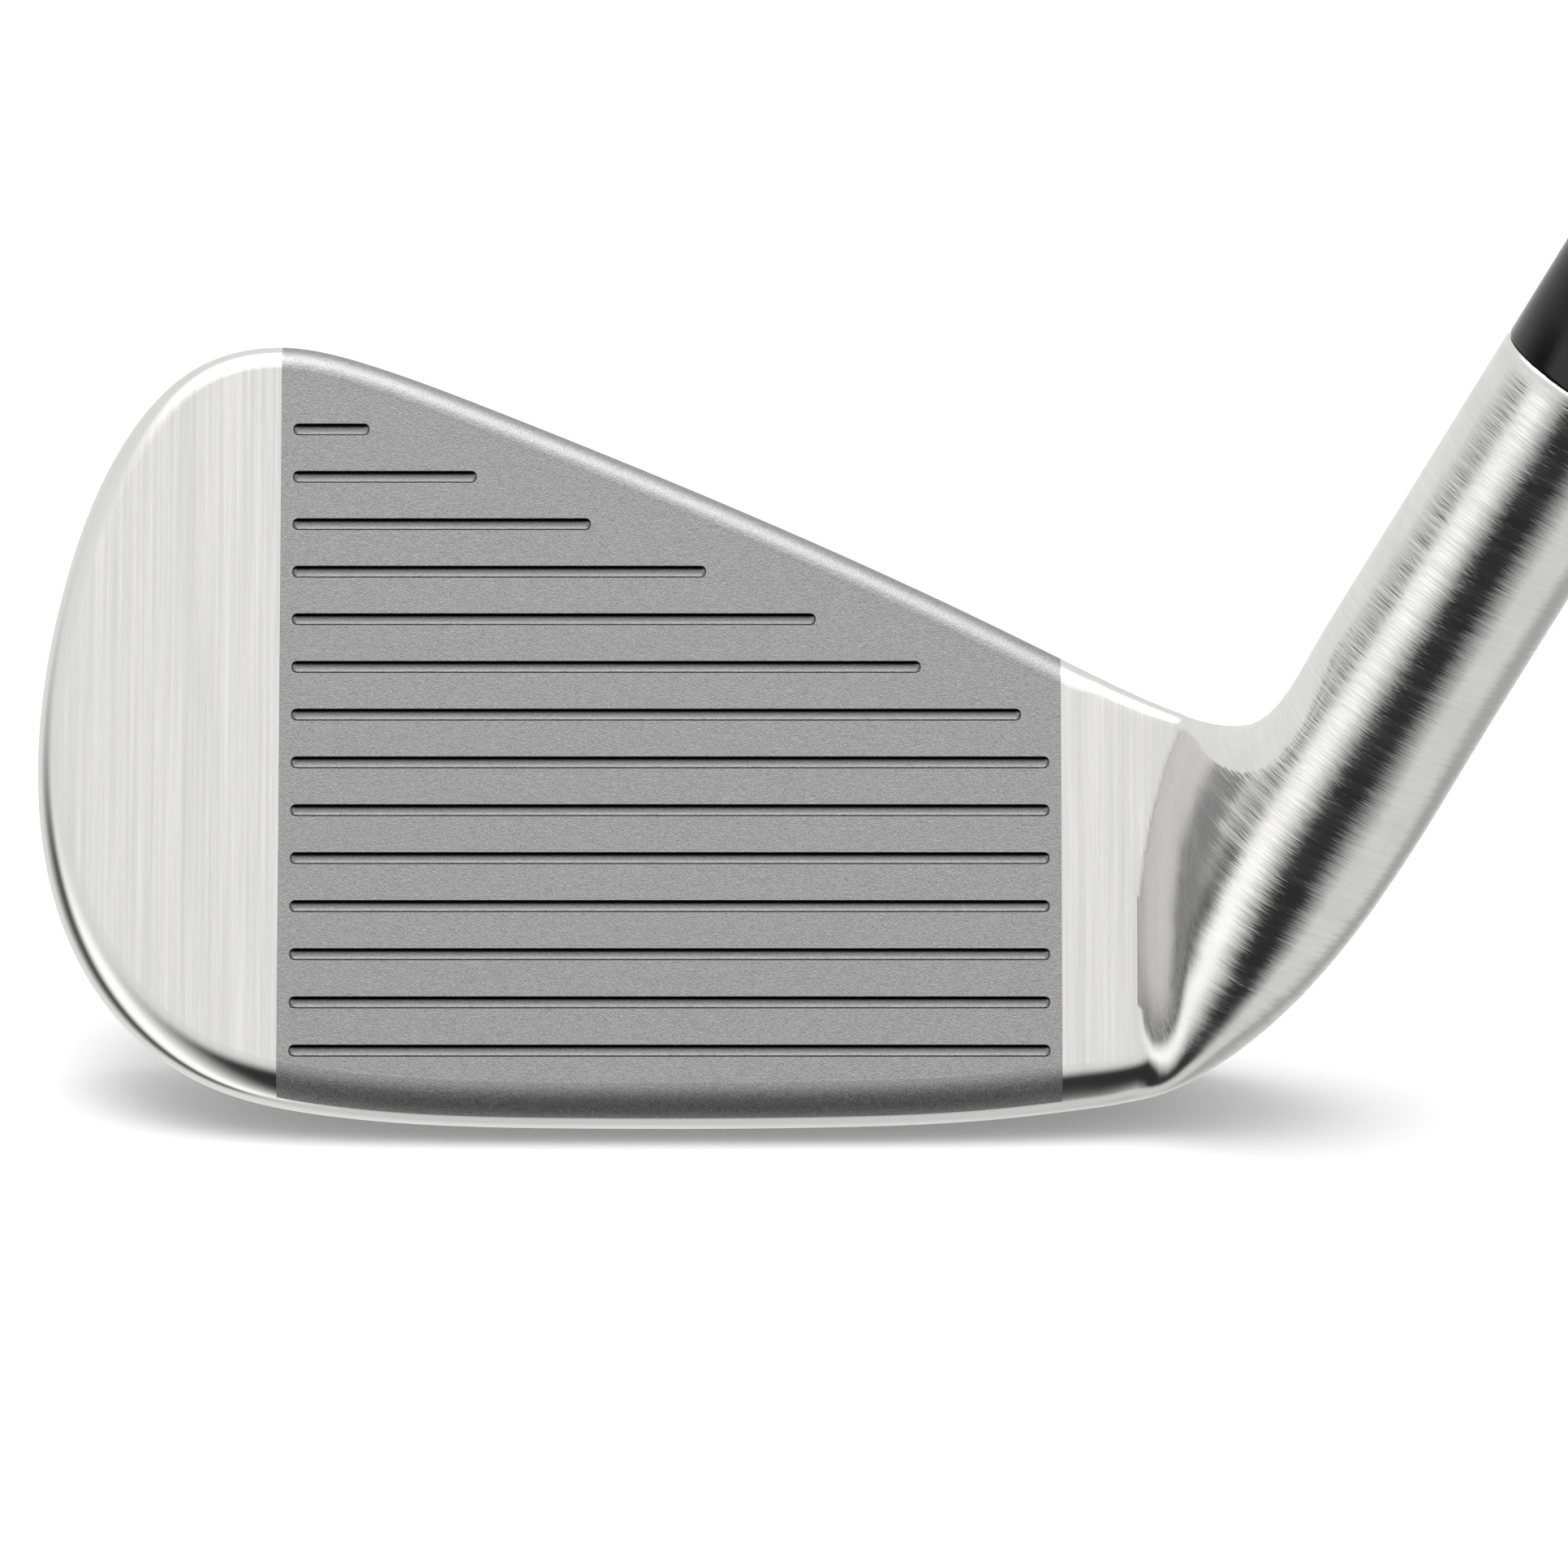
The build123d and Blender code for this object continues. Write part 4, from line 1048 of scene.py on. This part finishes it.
def grip_radius(along):
    """The grip's outer radius: slim at the mouth, and flared to the cap."""
    places = np.array([GRIP_MOUTH, (GRIP_MOUTH + SHAFT_END) / 2, SHAFT_END - GRIP_FLARE, SHAFT_END])
    bend = np.polyfit((places - GRIP_MOUTH) / (SHAFT_END - GRIP_MOUTH), GRIP_WALLS, 3)
    from_lip = 1 - np.clip((along - GRIP_MOUTH) / GRIP_LIP, 0, 1)
    lip = GRIP_LIP * (1 - np.sqrt(np.clip(1 - from_lip**2, 0, 1)))
    return BUTT_RADIUS + GRIP_SLACK + np.polyval(bend, (along - GRIP_MOUTH) / (SHAFT_END - GRIP_MOUTH)) - lip


def make_grip_base():
    """The plain grip sleeve: a fine skin outside, a bore inside."""
    count = 200
    turn = np.arange(count) / count
    sheets = Sheets("along", "turn", "patterned")
    body = np.linspace(GRIP_MOUTH + 2 * GRIP_LIP, SHAFT_END, 330)
    along = np.concatenate([GRIP_MOUTH + np.linspace(0, GRIP_LIP, 5), body])
    degrees = turn * 360
    rows = [axis_point(place, radius, degrees) for place, radius in zip(along, grip_radius(along))]
    plain = smooth((along - GRIP_MOUTH - 9) / 3) * (1 - smooth((along - SHAFT_END + 12) / 3))
    for middle in (GRIP_MOUTH + 90.0, GRIP_MOUTH + 178.0):
        plain = plain * smooth((abs(along - middle) - 4.0) / 1.5)
    sheets.grid(rows, closed=True, along=along[:, None] * MM, turn=turn[None], patterned=plain[:, None])
    inner = BUTT_RADIUS + GRIP_SLACK
    lining = [rows[-1], axis_point(np.full(count, SHAFT_END), np.full(count, inner), degrees)]
    lining += [axis_point(np.full(count, GRIP_MOUTH), np.full(count, inner), degrees), rows[0]]
    sheets.grid(lining, closed=True)
    return sheets


def settle(piece, slot, *nodes):
    """Gives a finished piece its body, and hides the solids it stands for; the slot is not used."""
    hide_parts(*nodes)
    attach(piece, "root")
    return piece


def paint(node, material):
    """Puts a material on a solid that is kept as it is."""
    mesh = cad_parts[node].data
    mesh.materials.clear()
    mesh.materials.append(material)


# ---------------------------------------------------------------- settings
def colour_setting(name, description, default):
    return bpy.props.FloatVectorProperty(
        name=name, description=description, default=default, subtype="COLOR", size=4, min=0.0, max=1.0
    )


def length_setting(name, description, default):
    return bpy.props.FloatProperty(
        name=name, description=description, default=default, unit="LENGTH", precision=5
    )


def number_setting(name, description, default):
    return bpy.props.FloatProperty(name=name, description=description, default=default, min=0.0)


def count_setting(name, description, default, most=100):
    return bpy.props.IntProperty(name=name, description=description, default=default, min=1, max=most)


class IronHeadSettings(bpy.types.PropertyGroup):
    """Finishes of the head."""

    steel: colour_setting("Steel", "Colour of the brushed and polished steel", (0.81, 0.805, 0.8, 1.0))
    blasted: colour_setting("Blasted steel", "Colour of the blasted hitting area", (0.35, 0.35, 0.35, 1.0))


class IronLinesSettings(bpy.types.PropertyGroup):
    """Sizes of the score lines."""

    count: count_setting("Lines", "How many score lines", SCORE_COUNT, SCORE_COUNT)
    pitch: length_setting("Pitch", "Distance from one line to the next", SCORE_PITCH * MM)
    width: length_setting("Width", "Width of a line", 0.0008)
    depth: length_setting("Depth", "Depth of a line", 0.00045)


class IronShaftSettings(bpy.types.PropertyGroup):
    """Sizes and colours of the shaft and its trim."""

    steps: count_setting("Steps", "How many steps the shaft has", 13, 20)
    first_step: length_setting("First step", "Distance along the axis to the first step", 0.2475)
    pitch: length_setting("Step pitch", "Distance from one step to the next", 0.0315)
    chrome: colour_setting("Chrome", "Colour of the plated shaft", (0.78, 0.785, 0.8, 1.0))
    ferrule: colour_setting("Ferrule", "Colour of the ferrule", (0.006, 0.006, 0.0065, 1.0))


class IronGripSettings(bpy.types.PropertyGroup):
    """Pattern and colour of the grip."""

    rubber: colour_setting("Rubber", "Colour of the grip", (0.022, 0.022, 0.023, 1.0))
    pitch: length_setting("Pattern pitch", "Distance from one row of grooves to the next", 0.0058)
    around: count_setting("Grooves around", "Grooves round the grip", 20)
    depth: length_setting("Groove depth", "Depth of the moulded pattern", 0.00035)


class IronStageSettings(bpy.types.PropertyGroup):
    """Floor, light and camera."""

    floor: colour_setting("Floor", "Colour of the floor", (0.96, 0.96, 0.96, 1.0))
    strength: number_setting("Studio light", "Strength of the studio", 1.0)
    lens: number_setting("Lens", "Focal length of the camera, in mm", 316.36)


# ---------------------------------------------------------------- operators
class IronHead(bpy.types.Operator):
    """Builds the one-piece head with its openings, its neck and its bored hosel"""

    bl_idname = "iron.head"
    bl_label = "Head"

    def execute(self, context):
        settings = context.scene.iron_head
        piece = make_head()
        piece.data.materials.append(head_steel(tuple(settings.steel), tuple(settings.blasted)))
        settle(piece, "head_steel", "head_body")
        return {"FINISHED"}


class IronInsert(bpy.types.Operator):
    """Builds the hitting plate and cuts its score lines"""

    bl_idname = "iron.insert"
    bl_label = "Face insert"

    def execute(self, context):
        lines = context.scene.iron_lines
        material = face_steel(tuple(context.scene.iron_head.blasted))
        plate = Sheets()
        loop = insert_loop(0.004)
        flat(plate, loop, [], 0.0)
        flat(plate, loop, [], INSERT_THICKNESS)
        prism(plate, loop, 0.0, INSERT_THICKNESS)
        base = plate.build("insert_blank")
        base.data.transform(to_blade().inverted())
        wires = score_wires(lines.count, lines.pitch / MM)
        piece = score_rule().make(
            "face_plate", base.data, Width=lines.width, Depth=lines.depth, Wires=wires, Finish=material
        )
        piece.data.transform(to_blade())
        bpy.data.objects.remove(base)
        bpy.data.objects.remove(wires)
        settle(piece, "face_steel", "face_insert")
        return {"FINISHED"}


class IronFillings(bpy.types.Operator):
    """Finishes the weights, the damping pieces, the tapes and the glue inside the club"""

    bl_idname = "iron.fillings"
    bl_label = "Weights and fillings"

    def execute(self, context):
        dense = grey(0.33, 0.02)
        tungsten = plain_finish("tungsten", dense, 0.12, (0.42, 0.6), 2600.0, 0.00003, Metallic=1.0)
        rubber = plain_finish("elastomer", grey(0.045), 0.25, (0.55, 0.75), 1800.0, 0.00004)
        tape = plain_finish("bond_tape", grey(0.8, 0.03), 0.06, (0.7, 0.85), 2400.0, 0.00002, (1.0, 1.0, 0.2))
        glue = plain_finish("epoxy", (0.42, 0.36, 0.25, 1.0), 0.1, (0.12, 0.22), 700.0, 0.00001)
        brass = plain_finish(
            "brass", (0.78, 0.57, 0.25, 1.0), 0.08, (0.2, 0.34), 2500.0, 0.000006,
            (0.03, 0.03, 1.0), AXIS_TURN, Metallic=1.0,
        )
        for node, material in (
            ("toe_weight", tungsten),
            ("heel_weight", tungsten),
            ("damping_core", rubber),
            ("face_damper", rubber),
            ("bond_tape", tape),
            ("grip_tape", tape),
            ("hosel_epoxy", glue),
            ("tip_weight", brass),
        ):
            paint(node, material)
        return {"FINISHED"}


class IronBadge(bpy.types.Operator):
    """Finishes the plain badge in the cavity and its bright bar"""

    bl_idname = "iron.badge"
    bl_label = "Cavity badge"

    def execute(self, context):
        dark = plain_finish(
            "badge", grey(0.055), 0.15, (0.3, 0.42), 3000.0, 0.000012,
            (0.02, 1.0, 1.0), BLADE_TURN, Metallic=0.6,
        )
        bright = plain_finish(
            "accent", grey(0.75), 0.06, (0.14, 0.22), 3200.0, 0.000004,
            (0.02, 1.0, 1.0), BLADE_TURN, Metallic=1.0,
        )
        paint("cavity_badge", dark)
        paint("accent_bar", bright)
        return {"FINISHED"}


class IronFerrule(bpy.types.Operator):
    """Turns the gloss ferrule that covers the joint of the hosel and the shaft"""

    bl_idname = "iron.ferrule"
    bl_label = "Ferrule"

    def execute(self, context):
        piece = spun(make_ferrule_profile(), "ferrule_sleeve")
        colour = tuple(context.scene.iron_shaft.ferrule)
        material = plain_finish(
            "ferrule_black", colour, 0.2, (0.07, 0.1), 2200.0, 0.0000006, (0.05, 0.05, 1.0), AXIS_TURN,
            IOR=1.35, Coat_Weight=0.1, Coat_Roughness=0.03,
        )
        piece.data.materials.append(material)
        settle(piece, "ferrule_black", "ferrule")
        return {"FINISHED"}


class IronShaft(bpy.types.Operator):
    """Builds the stepped shaft and finishes its plain band"""

    bl_idname = "iron.shaft"
    bl_label = "Shaft"

    def execute(self, context):
        settings = context.scene.iron_shaft
        chrome = plain_finish(
            "shaft_chrome", tuple(settings.chrome), 0.04, (0.05, 0.11), 1800.0, 0.000001,
            (0.06, 0.06, 1.0), AXIS_TURN, Metallic=1.0,
        )
        base = bpy.data.meshes.new("shaft_seed")
        piece = shaft_rule().make(
            "shaft_tube",
            base,
            Steps=settings.steps,
            First_Step=settings.first_step,
            Pitch=settings.pitch,
            Finish=chrome,
        )
        settle(piece, "shaft_chrome", "shaft")
        band = plain_finish("shaft_band", grey(0.03), 0.15, (0.16, 0.24), 1500.0, 0.000002, Coat_Weight=0.6)
        paint("shaft_band", band)
        return {"FINISHED"}


class IronGrip(bpy.types.Operator):
    """Moulds the grip's pattern and finishes its cap"""

    bl_idname = "iron.grip"
    bl_label = "Grip"

    def execute(self, context):
        settings = context.scene.iron_grip
        rubber = plain_finish("grip_rubber", tuple(settings.rubber), 0.2, (0.58, 0.78), 2600.0, 0.00003)
        base = make_grip_base().build("grip_seed", sharp=50.0)
        piece = grip_rule().make(
            "grip_body",
            base.data,
            Pitch=settings.pitch,
            Around=float(settings.around),
            Depth=settings.depth,
            Finish=rubber,
        )
        bpy.data.objects.remove(base)
        settle(piece, "grip_rubber", "grip_sleeve")
        paint("grip_cap", rubber)
        return {"FINISHED"}


class IronStage(bpy.types.Operator):
    """Lays the pale floor, lights the studio and places the camera"""

    bl_idname = "iron.stage"
    bl_label = "Floor, light and camera"

    def execute(self, context):
        settings = context.scene.iron_stage
        make_floor(tuple(settings.floor))
        make_studio(context.scene, settings.strength)
        make_lights(settings.strength)
        make_camera(context.scene, settings.lens)
        return {"FINISHED"}


# ---------------------------------------------------------------- score lines
# the groove's share of its full width at each distance from its end
SCORE_ROUND = [(0.0, 0.05), (0.03, 0.4), (0.1, 0.68), (0.2, 0.87), (0.32, 0.97), (0.45, 1.0)]


def to_blade():
    """From the plate laid flat (u along x, w along y, outwards along z) to its place in the head."""
    place = Matrix.Rotation(pi / 2 - LOFT, 4, "X")
    place.translation = Vector((0.0, FACE_Y * MM, 0.0))
    return place


def score_end(w):
    """How far a score line at w may run towards the heel: short of the plate's side or the top line."""
    half = INSERT_HALF - SCORE_SIDE_GAP
    u = np.linspace(-INSERT_HALF, half, 800)
    gap = SCORE_TOP_GAP - 0.08 * np.maximum(0, -12.0 - u)
    short = np.nonzero((upper_w(u, 0.0) - w < gap) & (u > -26.0))[0]
    return half if len(short) == 0 else float(u[short[0]])


def score_wires(count, pitch):
    """One wire for each score line, with how wide the groove is at each of its points."""
    points, edges, narrow = [], [], []
    for line in range(count):
        w = SCORE_LOWEST_W + pitch * line
        start, end = -(INSERT_HALF - SCORE_SIDE_GAP), score_end(w)
        row = [(start + s, r) for s, r in SCORE_ROUND] + [(end - s, r) for s, r in reversed(SCORE_ROUND)]
        first = len(points)
        points += [(u * MM, w * MM, 0.0) for u, _ in row]
        narrow += [r for _, r in row]
        edges += [(first + i, first + i + 1) for i in range(len(row) - 1)]
    mesh = bpy.data.meshes.new("score_wires")
    mesh.from_pydata(points, edges, [])
    mesh.attributes.new("narrow", "FLOAT", "POINT").data.foreach_set("value", narrow)
    wires = bpy.data.objects.new("score_wires", mesh)
    bpy.context.scene.collection.objects.link(wires)
    return wires


# ---------------------------------------------------------------- stage
# what stands round the club: from one azimuth to another, in degrees from straight ahead, and how bright
PANELS = (
    (-180, -120, 0.85),  # white wall behind the toe
    (-90, -80, 0.1),  # narrow flag beside the toe
    (-65, -50, 1.25),  # soft box in front, on the toe's side
    (-20, 10, 0.03),  # black flag straight ahead
    (45, 90, 0.75),  # white wall beside the heel
    (115, 140, 0.45),  # grey wall behind the heel
    (175, 180, 0.8),  # white wall behind
)
# the ceiling: elevation in degrees and how bright
CEILING = ((0, 0.84), (30, 0.84), (50, 0.86), (63, 1.4), (72, 3.6), (90, 4.2))
WALLS_END = 30
FLOOR_FROM = -66
FLOOR_FULL = -80
FLOOR_LIGHT = 0.7
SEEN_WHITE = 0.98
FLOOR_SIZE = 6.0
FLOOR_CELLS = 24
LAMP_SIZE = (0.9, 0.6)
LAMP_PLACE = (-0.25, -0.55, 1.15)
LAMP_AIM = (0.0, 0.0, 0.03)
LAMP_POWER = 2.5
CAMERA_PLACE = (0.00828, -0.94705, 0.33769)
CAMERA_TILT = radians(71.7)


def brightness(studio, value, stops):
    """A grey picked from (place, grey) stops by a value."""
    node = studio.node("ShaderNodeValToRGB", {0: value})
    ramp = node.color_ramp
    while len(ramp.elements) > 1:
        ramp.elements.remove(ramp.elements[-1])
    for i, (place, level) in enumerate(stops):
        element = ramp.elements[0] if i == 0 else ramp.elements.new(place)
        element.position = place
        element.color = grey(level)
    return node.outputs[0]


def make_studio(scene, strength):
    """The studio round the club, as light by direction: soft boxes, dark flags and a bright ceiling."""
    world = bpy.data.worlds.new("studio")
    scene.world = world
    world.use_nodes = True
    studio = Nodes(world.node_tree)

    def between(value, low, high):
        inputs = {"Value": value, "From Min": sin(radians(low)), "From Max": sin(radians(high))}
        return studio.node("ShaderNodeMapRange", inputs, interpolation_type="SMOOTHSTEP").outputs[0]

    towards = studio.node("ShaderNodeTexCoord").outputs["Generated"]
    x, y, z = studio.node("ShaderNodeSeparateXYZ", {0: towards}).outputs
    turn = studio.maths("ARCTAN2", x, studio.maths("MULTIPLY", y, -1.0))
    share = studio.maths("ADD", studio.maths("DIVIDE", turn, 2 * pi), 0.5)
    edges = [(edge / 360 + 0.5, level) for start, end, level in PANELS for edge in (start, end)]
    walls = brightness(studio, share, edges)
    ceiling = brightness(studio, z, [(sin(radians(angle)), level) for angle, level in CEILING])
    sides = studio.tint(between(z, 0, WALLS_END), walls, ceiling)
    whole = studio.tint(between(z, FLOOR_FROM, FLOOR_FULL), sides, grey(FLOOR_LIGHT))
    seen = studio.node("ShaderNodeLightPath").outputs["Is Camera Ray"]
    background = studio.tree.nodes["Background"]
    studio.feed(background.inputs["Color"], studio.tint(seen, whole, grey(SEEN_WHITE)))
    background.inputs["Strength"].default_value = strength


def make_floor(colour):
    """A wide pale floor with a very soft mottle."""
    mesh = bpy.data.meshes.new("floor")
    work = bmesh.new()
    bmesh.ops.create_grid(work, x_segments=FLOOR_CELLS, y_segments=FLOOR_CELLS, size=FLOOR_SIZE / 2)
    bmesh.ops.translate(work, verts=work.verts, vec=(0.2, 0.0, -0.0001))
    work.to_mesh(mesh)
    work.free()
    floor = bpy.data.objects.new("floor", mesh)
    bpy.context.scene.collection.objects.link(floor)
    mesh.materials.append(plain_finish("floor", colour, 0.008, (0.8, 0.9), 6.0, 0.0))
    floor.visible_glossy = False


def make_lights(strength):
    """One broad soft light over the face, from the front and a little to the left."""
    lamp = bpy.data.lights.new("broad_light", "AREA")
    lamp.shape = "RECTANGLE"
    lamp.size, lamp.size_y = LAMP_SIZE
    lamp.energy = LAMP_POWER * strength
    item = bpy.data.objects.new("broad_light", lamp)
    item.location = LAMP_PLACE
    aim = Vector(LAMP_AIM) - Vector(LAMP_PLACE)
    item.rotation_euler = aim.to_track_quat("-Z", "Y").to_euler()
    item.visible_glossy = False
    bpy.context.scene.collection.objects.link(item)


def make_camera(scene, lens):
    """The camera, a little above the face and square to it."""
    data = bpy.data.cameras.new("camera")
    data.lens = lens
    data.sensor_width = 36.0
    data.clip_start = 0.01
    data.clip_end = 50.0
    camera = bpy.data.objects.new("camera", data)
    camera.location = CAMERA_PLACE
    camera.rotation_euler = (CAMERA_TILT, 0.0, 0.0)
    scene.collection.objects.link(camera)
    scene.camera = camera
    scene.view_settings.view_transform = "Standard"
    scene.view_settings.look = "None"


# ---------------------------------------------------------------- panel and registration
BUILD_ORDER = (IronHead, IronInsert, IronFillings, IronBadge, IronFerrule, IronShaft, IronGrip, IronStage)
SETTINGS = {
    "iron_head": IronHeadSettings,
    "iron_lines": IronLinesSettings,
    "iron_shaft": IronShaftSettings,
    "iron_grip": IronGripSettings,
    "iron_stage": IronStageSettings,
}


class IronPanel(bpy.types.Panel):
    """Lists the settings and the steps that build the club"""

    bl_idname = "VIEW3D_PT_golf_iron"
    bl_label = "Golf iron"
    bl_space_type = "VIEW_3D"
    bl_region_type = "UI"
    bl_category = "Golf iron"

    def draw(self, context):
        for key, group in SETTINGS.items():
            box = self.layout.box()
            for name in group.__annotations__:
                box.prop(getattr(context.scene, key), name)
        for operator in BUILD_ORDER:
            self.layout.operator(operator.bl_idname)


def register():
    for group in SETTINGS.values():
        bpy.utils.register_class(group)
    for operator in BUILD_ORDER:
        bpy.utils.register_class(operator)
    bpy.utils.register_class(IronPanel)
    for key, group in SETTINGS.items():
        setattr(bpy.types.Scene, key, bpy.props.PointerProperty(type=group))


def unregister():
    for key in SETTINGS:
        delattr(bpy.types.Scene, key)
    for item in (IronPanel, *reversed(BUILD_ORDER), *SETTINGS.values()):
        bpy.utils.unregister_class(item)


def main():
    register()
    for operator in BUILD_ORDER:
        group, name = operator.bl_idname.split(".")
        getattr(getattr(bpy.ops, group), name)()


if __name__ == "__main__":
    main()
